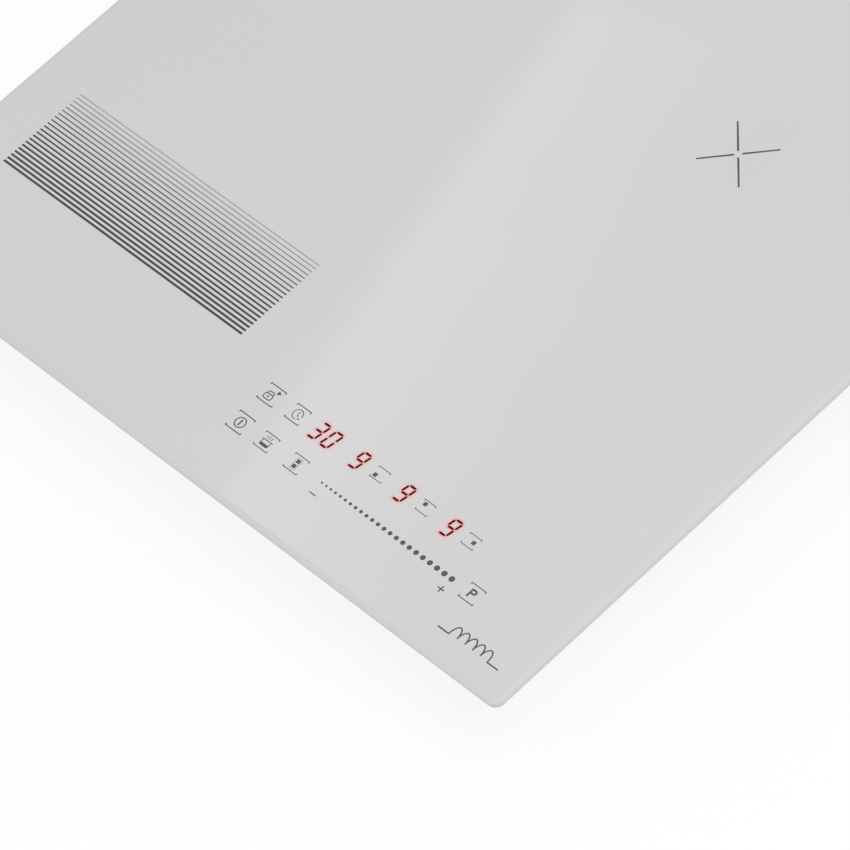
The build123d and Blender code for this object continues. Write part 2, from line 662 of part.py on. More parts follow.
with BuildPart() as coil_leads:
    for x, y in LEAD_PLACES:
        turn_up = LEAD_MIDDLE + LEAD_JOG / 2
        turn_down = LEAD_MIDDLE - LEAD_JOG / 2
        landing = y + LEAD_JOG
        route = ((x, y, FORMER_UNDER), (x, y, turn_up), (x, landing, turn_down), (x, landing, BOARD_TOP))
        add(tube(route, LEAD_RADIUS, LEAD_BEND))
keep(coil_leads.part, "coil_leads")

with BuildPart() as coil_plate:
    plate_middle = (PLATE_FRONT + PLATE_REAR) / 2
    with BuildSketch(Plane((0, plate_middle, PLATE_UNDER))):
        Rectangle(2 * PLATE_X, PLATE_REAR - PLATE_FRONT)
    extrude(amount=PLATE_SHEET)
    with BuildSketch(Plane((0, plate_middle, LEDGE_TOP))):
        with GridLocations(2 * PLATE_X - PLATE_SHEET, 1, 2, 1):
            Rectangle(PLATE_SHEET, PLATE_REAR - PLATE_FRONT)
    extrude(amount=PLATE_UNDER - LEDGE_TOP)
    with BuildSketch(Plane.XY.offset(PLATE_UNDER)):
        with Locations(*LEAD_PLACES):
            Circle(LEAD_RADIUS + LEAD_HOLE_CLEARANCE)
    extrude(amount=PLATE_SHEET, mode=Mode.SUBTRACT)
keep(coil_plate.part, "coil_plate")

# Blowers
FAN_TOP = PLATE_UNDER - FAN_HEADROOM
FAN_COVER_UNDER = FAN_TOP - FAN_WALL
IMPELLER_RADIUS = FAN_RADIUS - FAN_WALL - IMPELLER_GAP
IMPELLER_BOTTOM = FLOOR_TOP + FAN_WALL + IMPELLER_AXIAL_GAP
IMPELLER_TOP = FAN_COVER_UNDER - IMPELLER_AXIAL_GAP
HUB_FLOOR = IMPELLER_BOTTOM + HUB_WALL
MOTOR_RADIUS = HUB_RADIUS - HUB_WALL - MOTOR_GAP
MOTOR_BOTTOM = HUB_FLOOR + MOTOR_GAP
SHAFT_TOP = IMPELLER_TOP - HUB_WALL / 2


def blower_outline(inset, mode=Mode.ADD):
    """Round blower body with its straight outlet to the back."""
    left = FAN_OUTLET_INSET + inset
    right = FAN_RADIUS - inset
    Circle(FAN_RADIUS - inset, mode=mode)
    with Locations(((left + right) / 2, FAN_HALF / 2)):
        Rectangle(right - left, FAN_HALF, mode=mode)


for name, side in (("left", -1), ("right", 1)):
    fan_x = side * BOARD_X
    with BuildPart() as fan_housing:
        with BuildSketch(Plane((fan_x, FAN_Y, FLOOR_TOP))):
            blower_outline(0)
        extrude(amount=FAN_COVER_UNDER - FLOOR_TOP)
        with BuildSketch(Plane((0, 0, FLOOR_TOP))):
            with Locations(*fan_ears(side)):
                Circle(FAN_EAR)
        extrude(amount=FAN_COVER_UNDER - FLOOR_TOP)
        with BuildSketch(Plane((fan_x, FAN_Y, FLOOR_TOP + FAN_WALL))):
            blower_outline(FAN_WALL)
        extrude(amount=FAN_TOP, mode=Mode.SUBTRACT)
        with BuildSketch(Plane((fan_x, FAN_Y, FLOOR_TOP))):
            Circle(INLET_RADIUS)
        extrude(amount=FAN_WALL, mode=Mode.SUBTRACT)
        with BuildSketch(Plane((0, 0, FLOOR_TOP))):
            with Locations(*fan_ears(side)):
                Circle(FAN_SCREW_SHANK + THREAD_CLEARANCE)
        extrude(amount=FAN_TOP, mode=Mode.SUBTRACT)
    keep(fan_housing.part, f"{name}_fan_housing")

    with BuildPart() as fan_cover:
        with BuildSketch(Plane((fan_x, FAN_Y, FAN_COVER_UNDER))):
            blower_outline(0)
        extrude(amount=FAN_WALL)
        with BuildSketch(Plane((0, 0, FAN_COVER_UNDER))):
            with Locations(*fan_ears(side)):
                Circle(FAN_EAR)
        extrude(amount=FAN_WALL)
        with BuildSketch(Plane((0, 0, FAN_COVER_UNDER))):
            with Locations(*fan_ears(side)):
                Circle(FAN_SCREW_SHANK + THREAD_CLEARANCE)
        extrude(amount=FAN_WALL, mode=Mode.SUBTRACT)
        with BuildSketch(Plane((fan_x, FAN_Y, MOTOR_BOTTOM))):
            Circle(MOTOR_RADIUS)
        extrude(amount=FAN_COVER_UNDER - MOTOR_BOTTOM)
        with BuildSketch(Plane((fan_x, FAN_Y, MOTOR_BOTTOM))):
            Circle(SHAFT_RADIUS + SHAFT_CLEARANCE)
        extrude(amount=IMPELLER_TOP - MOTOR_BOTTOM, mode=Mode.SUBTRACT)
    keep(fan_cover.part, f"{name}_fan_cover")

    with BuildPart() as fan_impeller:
        with BuildSketch(Plane((fan_x, FAN_Y, IMPELLER_BOTTOM))):
            Circle(HUB_RADIUS)
        extrude(amount=HUB_WALL)
        with BuildSketch(Plane((fan_x, FAN_Y, IMPELLER_BOTTOM))):
            Circle(HUB_RADIUS)
            Circle(HUB_RADIUS - HUB_WALL, mode=Mode.SUBTRACT)
        extrude(amount=IMPELLER_TOP - IMPELLER_BOTTOM)
        with BuildSketch(Plane((fan_x, FAN_Y, IMPELLER_TOP))):
            Circle(IMPELLER_RADIUS)
            Circle(HUB_RADIUS - HUB_WALL, mode=Mode.SUBTRACT)
        extrude(amount=-IMPELLER_PLATE)
        with BuildSketch(Plane((fan_x, FAN_Y, IMPELLER_BOTTOM))):
            with PolarLocations(IMPELLER_RADIUS - BLADE_LENGTH / 2, IMPELLER_BLADES):
                Rectangle(BLADE_LENGTH, BLADE_THICKNESS, rotation=BLADE_LEAN)
        extrude(amount=IMPELLER_TOP - IMPELLER_BOTTOM)
        with BuildSketch(Plane((fan_x, FAN_Y, IMPELLER_BOTTOM))):
            Circle(IMPELLER_RADIUS)
            Circle(IMPELLER_RADIUS - HUB_WALL, mode=Mode.SUBTRACT)
        extrude(amount=IMPELLER_PLATE)
        with BuildSketch(Plane((fan_x, FAN_Y, HUB_FLOOR))):
            Circle(SHAFT_RADIUS)
        extrude(amount=SHAFT_TOP - HUB_FLOOR)
    keep(fan_impeller.part, f"{name}_fan_impeller")

with BuildPart() as fan_screws:
    with BuildSketch(Plane.XY.offset(FAN_TOP)):
        with Locations(*fan_ears(-1), *fan_ears(1)):
            Circle(FAN_SCREW_SHANK)
    extrude(amount=-FAN_TOP)
    with BuildSketch(Plane.XY.offset(FAN_TOP)):
        with Locations(*fan_ears(-1), *fan_ears(1)):
            Circle(FAN_SCREW_HEAD)
    extrude(amount=FAN_SCREW_HEAD_HEIGHT)
keep(fan_screws.part, "fan_screws")


# Inverter boards, filter board and what they carry
def board_holes(x, y, width, length):
    """Screw places near the corners of a board."""
    reach_x = width / 2 - BOARD_HOLE_INSET
    reach_y = length / 2 - BOARD_HOLE_INSET
    return [(x + i * reach_x, y + j * reach_y) for i in (-1, 1) for j in (-1, 1)]


BOARDS = {
    "left_inverter_board": (-BOARD_X, BOARD_Y, BOARD_WIDTH, BOARD_LENGTH),
    "right_inverter_board": (BOARD_X, BOARD_Y, BOARD_WIDTH, BOARD_LENGTH),
    "filter_board": (FILTER_X, FILTER_Y, FILTER_WIDTH, FILTER_DEPTH),
}
BOARD_SCREWS = [place for board in BOARDS.values() for place in board_holes(*board)]

for name, (x, y, width, length) in BOARDS.items():
    with BuildPart() as board:
        with BuildSketch(Plane.XY.offset(BOARD_UNDER)):
            with Locations((x, y)):
                RectangleRounded(width, length, BOARD_CORNER)
            with Locations(*board_holes(x, y, width, length)):
                Circle(BOARD_SCREW_SHANK + SCREW_CLEARANCE, mode=Mode.SUBTRACT)
        extrude(amount=BOARD_THICKNESS)
    keep(board.part, name)

with BuildPart() as board_standoffs:
    with BuildSketch(Plane.XY.offset(FLOOR_TOP)):
        with Locations(*BOARD_SCREWS):
            RegularPolygon(STANDOFF_RADIUS, 6)
            Circle(BOARD_SCREW_SHANK + THREAD_CLEARANCE, mode=Mode.SUBTRACT)
    extrude(amount=STANDOFF_HEIGHT)
keep(board_standoffs.part, "board_standoffs")

with BuildPart() as board_screws:
    with BuildSketch(Plane.XY.offset(BOARD_TOP)):
        with Locations(*BOARD_SCREWS):
            Circle(BOARD_SCREW_SHANK)
    extrude(amount=FLOOR_TOP + BOARD_THICKNESS - BOARD_TOP)
    with BuildSketch(Plane.XY.offset(BOARD_TOP)):
        with Locations(*BOARD_SCREWS):
            Circle(BOARD_SCREW_HEAD)
    extrude(amount=BOARD_SCREW_HEAD_HEIGHT)
keep(board_screws.part, "board_screws")

HEATSINK_OFFSET = (FAN_OUTLET_INSET + FAN_RADIUS) / 2
HEATSINK_FRONT = BOARD_FRONT + HEATSINK_FRONT_GAP
HEATSINK_LENGTH = BOARD_LENGTH - HEATSINK_FRONT_GAP - HEATSINK_REAR_GAP
HEATSINK_HEIGHT = PLATE_UNDER - HEATSINK_HEADROOM - BOARD_TOP
FIN_ROOT = HEATSINK_LEG + HEATSINK_BASE
FIN_PITCH = (HEATSINK_WIDTH - HEATSINK_FIN_WIDTH) / (HEATSINK_FINS - 1)
FILM_CAP_HEIGHT = PLATE_UNDER - FILM_CAP_HEADROOM - BOARD_TOP
CAP_OFFSET = CAP_EDGE_GAP + FILM_CAP_LENGTH / 2 - BOARD_WIDTH / 2

for name, side in (("left", -1), ("right", 1)):
    sink_x = side * BOARD_X + HEATSINK_OFFSET
    with BuildPart() as heatsink:
        profile = Plane(origin=(sink_x, HEATSINK_FRONT, BOARD_TOP), x_dir=(1, 0, 0), z_dir=(0, -1, 0))
        with BuildSketch(profile):
            with Locations((0, HEATSINK_LEG / 2)):
                with GridLocations(HEATSINK_WIDTH - HEATSINK_LEG_WIDTH, 1, 2, 1):
                    Rectangle(HEATSINK_LEG_WIDTH, HEATSINK_LEG)
            with Locations((0, HEATSINK_LEG + HEATSINK_BASE / 2)):
                Rectangle(HEATSINK_WIDTH, HEATSINK_BASE)
            with Locations((0, (FIN_ROOT + HEATSINK_HEIGHT) / 2)):
                with GridLocations(FIN_PITCH, 1, HEATSINK_FINS, 1):
                    Rectangle(HEATSINK_FIN_WIDTH, HEATSINK_HEIGHT - FIN_ROOT)
        extrude(amount=-HEATSINK_LENGTH)
    keep(heatsink.part, f"{name}_heatsink")

    with BuildPart() as transistors:
        with BuildSketch(Plane((sink_x, HEATSINK_FRONT + HEATSINK_LENGTH / 2, BOARD_TOP))):
            with GridLocations(1, DEVICE_PITCH, 1, DEVICE_COUNT):
                Rectangle(DEVICE_WIDTH, DEVICE_LENGTH)
        extrude(amount=DEVICE_THICKNESS)
    keep(transistors.part, f"{name}_transistors")

    with BuildPart() as capacitors:
        with BuildSketch(Plane((side * BOARD_X + CAP_OFFSET, BOARD_Y, BOARD_TOP))):
            with GridLocations(1, 2 * FILM_CAP_WIDTH, 1, 2):
                RectangleRounded(FILM_CAP_LENGTH, FILM_CAP_WIDTH, CAP_CORNER)
        extrude(amount=FILM_CAP_HEIGHT)
        with BuildSketch(Plane((side * BOARD_X + CAP_OFFSET, BOARD_Y, BOARD_TOP))):
            with GridLocations(3 * ROUND_CAP_RADIUS, 1, 2, 1):
                Circle(ROUND_CAP_RADIUS)
        extrude(amount=ROUND_CAP_HEIGHT)
    keep(capacitors.part, f"{name}_capacitors")

with BuildPart() as filter_choke:
    choke_x = FILTER_X - FILTER_WIDTH / 2 + CHOKE_FROM_EDGE
    with BuildSketch(Plane(origin=(choke_x, FILTER_Y, BOARD_TOP), x_dir=(1, 0, 0), z_dir=(0, -1, 0))):
        with Locations((CHOKE_RADIUS, CHOKE_SECTION)):
            RectangleRounded(2 * CHOKE_SECTION, 2 * CHOKE_SECTION, CHOKE_SECTION / 2)
    revolve(axis=Axis((choke_x, FILTER_Y, 0), (0, 0, 1)))
keep(filter_choke.part, "filter_choke")

with BuildPart() as filter_capacitors:
    cap_x = FILTER_X + FILTER_WIDTH / 2 - FILTER_CAP_FROM_EDGE
    with BuildSketch(Plane((cap_x, FILTER_Y, BOARD_TOP))):
        with GridLocations(FILTER_CAP_PITCH, 1, 3, 1):
            RectangleRounded(FILTER_CAP_WIDTH, FILTER_CAP_LENGTH, CAP_CORNER)
    extrude(amount=FILTER_CAP_HEIGHT)
keep(filter_capacitors.part, "filter_capacitors")

# Touch control
SINK_LEFT = BOARD_X + HEATSINK_OFFSET - HEATSINK_WIDTH / 2
RIBBON_X = SINK_LEFT - RIBBON_SINK_GAP - RIBBON_WIDTH / 2
PLUG_REAR = CONTROL_REAR - RIBBON_PLUG_INSET
RIBBON_START = CONTROL_UNDER - RIBBON_PLUG_HEIGHT / 2
CARRIER_FLOOR = CARRIER_UNDER + CARRIER_WALL

with BuildPart() as touch_board:
    with BuildSketch(Plane((CONTROL_X, CONTROL_Y, CONTROL_UNDER))):
        RectangleRounded(CONTROL_WIDTH, CONTROL_DEPTH, BOARD_CORNER)
    extrude(amount=BOARD_THICKNESS)
    with BuildSketch(Plane((RIBBON_X, PLUG_REAR - RIBBON_PLUG_DEPTH / 2, CONTROL_UNDER))):
        Rectangle(RIBBON_WIDTH + 2 * RIBBON_PLUG_MARGIN, RIBBON_PLUG_DEPTH)
    extrude(amount=-RIBBON_PLUG_HEIGHT)
keep(touch_board.part, "touch_board")

with BuildPart() as control_carrier:
    outer_width = CONTROL_WIDTH + 2 * CARRIER_SIDE
    outer_depth = CONTROL_DEPTH + 2 * CARRIER_SIDE
    with BuildSketch(Plane((CONTROL_X, CONTROL_Y, CARRIER_UNDER))):
        RectangleRounded(outer_width, outer_depth, CARRIER_CORNER)
    extrude(amount=CONTROL_TOP + CARRIER_LIP - CARRIER_UNDER)
    with BuildSketch(Plane((CONTROL_X, CONTROL_Y, CARRIER_FLOOR))):
        inner_corner = CARRIER_CORNER - CARRIER_WALL
        RectangleRounded(outer_width - 2 * CARRIER_WALL, outer_depth - 2 * CARRIER_WALL, inner_corner)
    extrude(amount=GLASS_UNDER, mode=Mode.SUBTRACT)
    with BuildSketch(Plane((CONTROL_X, CONTROL_Y, CARRIER_FLOOR))):
        with GridLocations(CONTROL_WIDTH - 4 * CARRIER_BOSS, CONTROL_DEPTH - 4 * CARRIER_BOSS, 2, 2):
            Circle(CARRIER_BOSS)
    extrude(amount=CONTROL_UNDER - CARRIER_FLOOR)
    with BuildSketch(Plane((CONTROL_X, CONTROL_Y, LEDGE_TOP))):
        with GridLocations(CONTROL_WIDTH - 4 * CARRIER_POST, CONTROL_DEPTH - 4 * CARRIER_POST, 2, 2):
            Circle(CARRIER_POST)
    extrude(amount=CARRIER_UNDER - LEDGE_TOP)
    # notch in the rear wall for the ribbon cable
    with BuildSketch(Plane((RIBBON_X, CONTROL_REAR + CARRIER_SIDE, CARRIER_FLOOR))):
        Rectangle(RIBBON_WIDTH + 2 * RIBBON_PLUG_MARGIN, 2 * CARRIER_WALL)
    extrude(amount=CONTROL_UNDER - CARRIER_FLOOR, mode=Mode.SUBTRACT)
keep(control_carrier.part, "control_carrier")

ZONE_KEYS = [RIGHT_EDGE - FIRST_ZONE_KEY + n * ZONE_PITCH for n in range(ZONE_COUNT)]
ZONE_DIGITS = [RIGHT_EDGE - FIRST_ZONE_DIGIT + n * ZONE_PITCH for n in range(ZONE_COUNT)]
SLIDER_STEP = (SLIDER_START - SLIDER_END) / (SLIDER_PADS - 1)
FRONT_KEYS = [RIGHT_EDGE - column for column in (POWER_COLUMN, WARM_COLUMN, BRIDGE_COLUMN, BOOST_COLUMN)]
SLIDER_KEYS = [RIGHT_EDGE - SLIDER_START + n * SLIDER_STEP for n in range(SLIDER_PADS)]
BACK_KEYS = [RIGHT_EDGE - column for column in (POWER_COLUMN, WARM_COLUMN)]
ROW_FRONT = FRONT_EDGE + KEY_ROW_FRONT
ROW_BACK = FRONT_EDGE + KEY_ROW_BACK

with BuildPart() as touch_pads:
    with BuildSketch(Plane.XY.offset(CONTROL_TOP)):
        with Locations(*[(x, ROW_FRONT) for x in FRONT_KEYS + SLIDER_KEYS]):
            Circle(PAD_RADIUS)
        with Locations(*[(x, ROW_BACK) for x in BACK_KEYS + ZONE_KEYS]):
            Circle(PAD_RADIUS)
    extrude(amount=CONTROL_DROP)
keep(touch_pads.part, "touch_pads")

with BuildPart() as digit_displays:
    with BuildSketch(Plane.XY.offset(CONTROL_TOP)):
        with Locations((RIGHT_EDGE - TIMER_DIGITS, ROW_BACK)):
            Rectangle(TIMER_WIDTH, DIGIT_DEPTH)
        with Locations(*[(x, ROW_BACK) for x in ZONE_DIGITS]):
            Rectangle(DIGIT_WIDTH, DIGIT_DEPTH)
    extrude(amount=CONTROL_DROP - DIGIT_GAP)
keep(digit_displays.part, "digit_displays")

with BuildPart() as control_ribbon:
    drop = CONTROL_REAR + CARRIER_SIDE + PLATE_CONTROL_GAP / 2
    level = (FAN_TOP + FAN_SCREW_HEAD_HEIGHT + PLATE_UNDER) / 2
    landing = BOARD_FRONT + RIBBON_BOARD_REACH
    with BuildLine() as ribbon_route:
        FilletPolyline(
            (RIBBON_X, PLUG_REAR, RIBBON_START),
            (RIBBON_X, drop, RIBBON_START),
            (RIBBON_X, drop, level),
            (RIBBON_X, landing, level),
            (RIBBON_X, landing, BOARD_TOP),
            radius=RIBBON_BEND,
        )
    with BuildSketch(Plane(origin=ribbon_route.line @ 0, x_dir=(1, 0, 0), z_dir=ribbon_route.line % 0)):
        Rectangle(RIBBON_WIDTH, RIBBON_THICKNESS)
    sweep(path=ribbon_route.line)
keep(control_ribbon.part, "control_ribbon")

# Mains terminal under the rear ledge
TERMINAL_Y = (TERMINAL_FRONT + TERMINAL_REAR) / 2
TERMINAL_DEPTH = TERMINAL_REAR - TERMINAL_FRONT
TERMINAL_MID_Z = (TERMINAL_FLOOR_GAP + LEDGE_HEIGHT) / 2
GROMMET_Y = TERMINAL_FRONT + GROMMET_FROM_FRONT
GROMMET_PLANE = Plane(origin=(TERMINAL_LEFT, GROMMET_Y, TERMINAL_MID_Z), z_dir=(-1, 0, 0))
BLOCK_FRONT = TERMINAL_FRONT + TERMINAL_WALL
BLOCK_UNDER = TERMINAL_FLOOR_GAP + TERMINAL_WALL
EAR_REACH = TERMINAL_WIDTH / 2 + HINGE_EAR / 2

with BuildPart() as terminal_box:
    with BuildSketch(Plane((TERMINAL_X, TERMINAL_Y, TERMINAL_FLOOR_GAP))):
        Rectangle(TERMINAL_WIDTH, TERMINAL_DEPTH)
    extrude(amount=LEDGE_HEIGHT - TERMINAL_FLOOR_GAP)
    with BuildSketch(Plane((TERMINAL_X, TERMINAL_Y + TERMINAL_WALL, BLOCK_UNDER))):
        Rectangle(TERMINAL_WIDTH - 2 * TERMINAL_WALL, TERMINAL_DEPTH)
    extrude(amount=LEDGE_HEIGHT - TERMINAL_WALL - BLOCK_UNDER, mode=Mode.SUBTRACT)
    with BuildSketch(Plane((TERMINAL_X, WIRE_SLOT_Y, LEDGE_HEIGHT))):
        Rectangle(WIRE_SLOT_WIDTH, WIRE_SLOT_DEPTH)
    extrude(amount=-TERMINAL_WALL, mode=Mode.SUBTRACT)
    with BuildSketch(GROMMET_PLANE):
        Circle(GROMMET_SLEEVE)
    extrude(amount=-TERMINAL_WALL, mode=Mode.SUBTRACT)
    # hinge ears outside the two side walls
    for side in (-1, 1):
        ear_middle = (TERMINAL_X + side * EAR_REACH, HINGE_Y, HINGE_Z)
        with BuildSketch(Plane(origin=ear_middle, x_dir=(0, 1, 0), z_dir=(1, 0, 0))):
            Circle(HINGE_EAR_RADIUS)
            root = HINGE_EAR_ROOT + HINGE_Y - TERMINAL_REAR
            with Locations((-root / 2, 0)):
                Rectangle(root, 2 * HINGE_EAR_RADIUS)
            Circle(HINGE_PIN + HINGE_CLEARANCE, mode=Mode.SUBTRACT)
        extrude(amount=HINGE_EAR / 2, both=True)
keep(terminal_box.part, "terminal_box")

with BuildPart() as terminal_block:
    with BuildSketch(Plane((TERMINAL_X, BLOCK_FRONT + BLOCK_DEPTH / 2, BLOCK_UNDER))):
        Rectangle(BLOCK_WIDTH, BLOCK_DEPTH)
    extrude(amount=BLOCK_HEIGHT)
    rear = Plane(
        origin=(TERMINAL_X, BLOCK_FRONT + BLOCK_DEPTH, BLOCK_UNDER + BLOCK_HEIGHT / 2),
        x_dir=(1, 0, 0),
        z_dir=(0, -1, 0),
    )
    with BuildSketch(rear):
        with GridLocations(BLOCK_WIDTH / BLOCK_WAYS, BLOCK_HEIGHT / 2, BLOCK_WAYS, 2):
            Rectangle(2 * BLOCK_ENTRY, 2 * BLOCK_ENTRY)
    extrude(amount=BLOCK_ENTRY_DEPTH, mode=Mode.SUBTRACT)
keep(terminal_block.part, "terminal_block")

with BuildPart() as cable_grommet:
    with BuildSketch(GROMMET_PLANE):
        Circle(GROMMET_FLANGE)
    extrude(amount=GROMMET_FLANGE_THICKNESS)
    with BuildSketch(GROMMET_PLANE):
        Circle(GROMMET_SLEEVE)
    extrude(amount=-TERMINAL_WALL)
    with BuildSketch(GROMMET_PLANE.offset(-TERMINAL_WALL)):
        Circle(GROMMET_INNER_FLANGE)
    extrude(amount=-GROMMET_FLANGE_THICKNESS)
    with BuildSketch(GROMMET_PLANE.offset(GROMMET_FLANGE_THICKNESS)):
        Circle(GROMMET_BORE)
    extrude(amount=-TERMINAL_WALL - 2 * GROMMET_FLANGE_THICKNESS, mode=Mode.SUBTRACT)
keep(cable_grommet.part, "cable_grommet")

COVER_WIDTH = TERMINAL_WIDTH - 2 * HINGE_SIDE_GAP
COVER_HEIGHT = HINGE_Z - TERMINAL_FLOOR_GAP
with BuildPart() as terminal_cover:
    with BuildSketch(Plane((TERMINAL_X, HINGE_Y, TERMINAL_FLOOR_GAP))):
        Rectangle(COVER_WIDTH, COVER_THICKNESS)
    extrude(amount=COVER_HEIGHT)
    with BuildSketch(Plane(origin=(TERMINAL_X, HINGE_Y, HINGE_Z), z_dir=(1, 0, 0))):
        Circle(COVER_KNUCKLE)
    extrude(amount=COVER_WIDTH / 2, both=True)
    with BuildSketch(Plane(origin=(TERMINAL_X, HINGE_Y, HINGE_Z), z_dir=(1, 0, 0))):
        Circle(HINGE_PIN)
    extrude(amount=TERMINAL_WIDTH / 2 + HINGE_EAR, both=True)
keep(terminal_cover.part, "terminal_cover")

with BuildPart() as mains_leads:
    high = LEDGE_TOP + MAINS_WIRE_RISE
    landing = FILTER_REAR - BOARD_HOLE_INSET
    for n in (-1, 0, 1):
        x = TERMINAL_X + n * MAINS_WIRE_PITCH
        start = (x, WIRE_SLOT_Y, BLOCK_UNDER + BLOCK_HEIGHT)
        route = (start, (x, WIRE_SLOT_Y, high), (x, landing, high), (x, landing, BOARD_TOP))
        add(tube(route, MAINS_WIRE_RADIUS, MAINS_WIRE_BEND))
keep(mains_leads.part, "mains_leads")

# Swinging clamps: a joggled strip on a screw under each side ledge
PAD_TOP = CLAMP_TOP - CLAMP_JOGGLE_DROP
JOGGLE_END = CLAMP_PIVOT_LENGTH + CLAMP_JOGGLE_RUN
with BuildPart() as clamp_blank:
    with BuildSketch(Plane.XZ):
        with BuildLine():
            Polyline(
                (-CLAMP_WIDTH / 2, CLAMP_TOP),
                (CLAMP_PIVOT_LENGTH, CLAMP_TOP),
                (JOGGLE_END, PAD_TOP),
                (CLAMP_REACH, PAD_TOP),
                (CLAMP_REACH, PAD_TOP - CLAMP_SHEET),
                (JOGGLE_END, PAD_TOP - CLAMP_SHEET),
                (CLAMP_PIVOT_LENGTH, CLAMP_TOP - CLAMP_SHEET),
                (-CLAMP_WIDTH / 2, CLAMP_TOP - CLAMP_SHEET),
                close=True,
            )
        make_face()
    extrude(amount=CLAMP_WIDTH / 2, both=True)
    ends = clamp_blank.edges().filter_by(Axis.Z).group_by(Axis.X)
    fillet(ends[-1], CLAMP_CORNER)
    ends = clamp_blank.edges().filter_by(Axis.Z).group_by(Axis.X)
    fillet(ends[0], CLAMP_WIDTH / 2 - 0.5)
    with BuildSketch(Plane.XY.offset(CLAMP_TOP)):
        Circle(CLAMP_SCREW_SHANK + CLAMP_CLEARANCE)
    extrude(amount=-CLAMP_SHEET, mode=Mode.SUBTRACT)

for name, x, y in (
    ("front_left", -1, -1),
    ("front_right", 1, -1),
    ("rear_left", -1, 1),
    ("rear_right", 1, 1),
):
    with BuildPart() as clamp:
        with Locations(Location((x * CLAMP_X, y * CLAMP_Y, 0), (0, 0, -90 * y))):
            add(clamp_blank.part)
    keep(clamp.part, f"{name}_clamp")

with BuildPart() as clamp_screws:
    head_top = CLAMP_TOP - CLAMP_SHEET - CLAMP_SCREW_GAP
    with BuildSketch(Plane.XY.offset(head_top)):
        with Locations(*CLAMP_PLACES):
            Circle(CLAMP_SCREW_HEAD)
    extrude(amount=-CLAMP_SCREW_HEAD_HEIGHT)
    fillet(clamp_screws.faces().group_by(Axis.Z)[0].edges(), CLAMP_SCREW_HEAD_HEIGHT / 3)
    with BuildSketch(Plane.XY.offset(head_top)):
        with Locations(*CLAMP_PLACES):
            Circle(CLAMP_SCREW_SHANK)
    extrude(amount=LEDGE_TOP + NUT_HEIGHT - head_top)
keep(clamp_screws.part, "clamp_screws")

with BuildPart() as clamp_nuts:
    with BuildSketch(Plane.XY.offset(LEDGE_TOP)):
        with Locations(*CLAMP_PLACES):
            RegularPolygon(NUT_RADIUS, 6)
            Circle(CLAMP_SCREW_SHANK + THREAD_CLEARANCE, mode=Mode.SUBTRACT)
    extrude(amount=NUT_HEIGHT)
keep(clamp_nuts.part, "clamp_nuts")
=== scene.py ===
"""Looks of a built-in induction cooktop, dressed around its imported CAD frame.

What is printed on the glass and the lit digits are modelled in millimetres on the
plane of the glass, and brought to metres when they are finished. Every CAD node
takes the finish of its material slot. The screws that show on the tray give way to
ones with a cross recess.
"""

import json
import logging
import math
from contextlib import contextmanager
from dataclasses import dataclass, field
from enum import Enum
from functools import cached_property
from typing import Callable, ClassVar, Iterable, Iterator

import bmesh
import bpy
from mathutils import Matrix, Vector


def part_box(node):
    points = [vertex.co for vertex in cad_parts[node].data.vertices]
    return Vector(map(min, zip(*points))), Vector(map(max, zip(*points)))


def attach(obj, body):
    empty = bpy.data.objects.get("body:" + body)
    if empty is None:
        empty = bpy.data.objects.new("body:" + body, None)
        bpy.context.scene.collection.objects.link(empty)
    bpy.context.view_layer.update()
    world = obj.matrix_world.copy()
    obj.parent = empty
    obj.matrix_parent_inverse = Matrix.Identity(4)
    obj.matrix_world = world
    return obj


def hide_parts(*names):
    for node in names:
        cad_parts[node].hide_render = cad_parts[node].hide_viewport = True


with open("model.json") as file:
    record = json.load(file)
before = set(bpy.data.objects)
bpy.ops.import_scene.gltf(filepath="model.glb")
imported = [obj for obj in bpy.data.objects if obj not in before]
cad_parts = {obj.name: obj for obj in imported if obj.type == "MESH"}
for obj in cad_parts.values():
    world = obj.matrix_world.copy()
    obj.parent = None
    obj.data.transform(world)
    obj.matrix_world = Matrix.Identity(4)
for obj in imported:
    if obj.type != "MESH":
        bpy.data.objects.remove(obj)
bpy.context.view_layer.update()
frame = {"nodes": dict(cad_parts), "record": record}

LOG = logging.getLogger("cooktop")
BODY = "hob"
SPREAD = "spread"
MM = 0.001

Colour = tuple[float, float, float]
Place = tuple[float, float, float]
Point = tuple[float, float]
Shape = bpy.types.Object
Socket = bpy.types.NodeSocket
Value = Socket | float | Colour
Inputs = dict[str | int, Value]
Test = Callable[[Vector], bool]

ORIGIN: Point = (0.0, 0.0)
WHITE: Colour = (1.0, 1.0, 1.0)

# Millimetres: thickness of a print, and how near two places count as one
PRINT_RISE = 0.03
NEAR = 1e-3
WELD_NEAR = 1e-4
CUT_NEAR = 1e-5

# Edges of a print: share of its thickness that is broken, and least angle in degrees
EDGE_SHARE = 0.25
EDGE_ANGLE = 60.0

# Stretches of a pattern's value over which a look changes
ALL: Point = (0.0, 1.0)
WIDE: Point = (0.25, 0.75)
CORE: Point = (0.3, 0.7)
TIGHT: Point = (0.35, 0.65)
UPPER: Point = (0.4, 0.7)


class Combine(Enum):
    """How two values give one."""

    ADD = "ADD"
    MAXIMUM = "MAXIMUM"


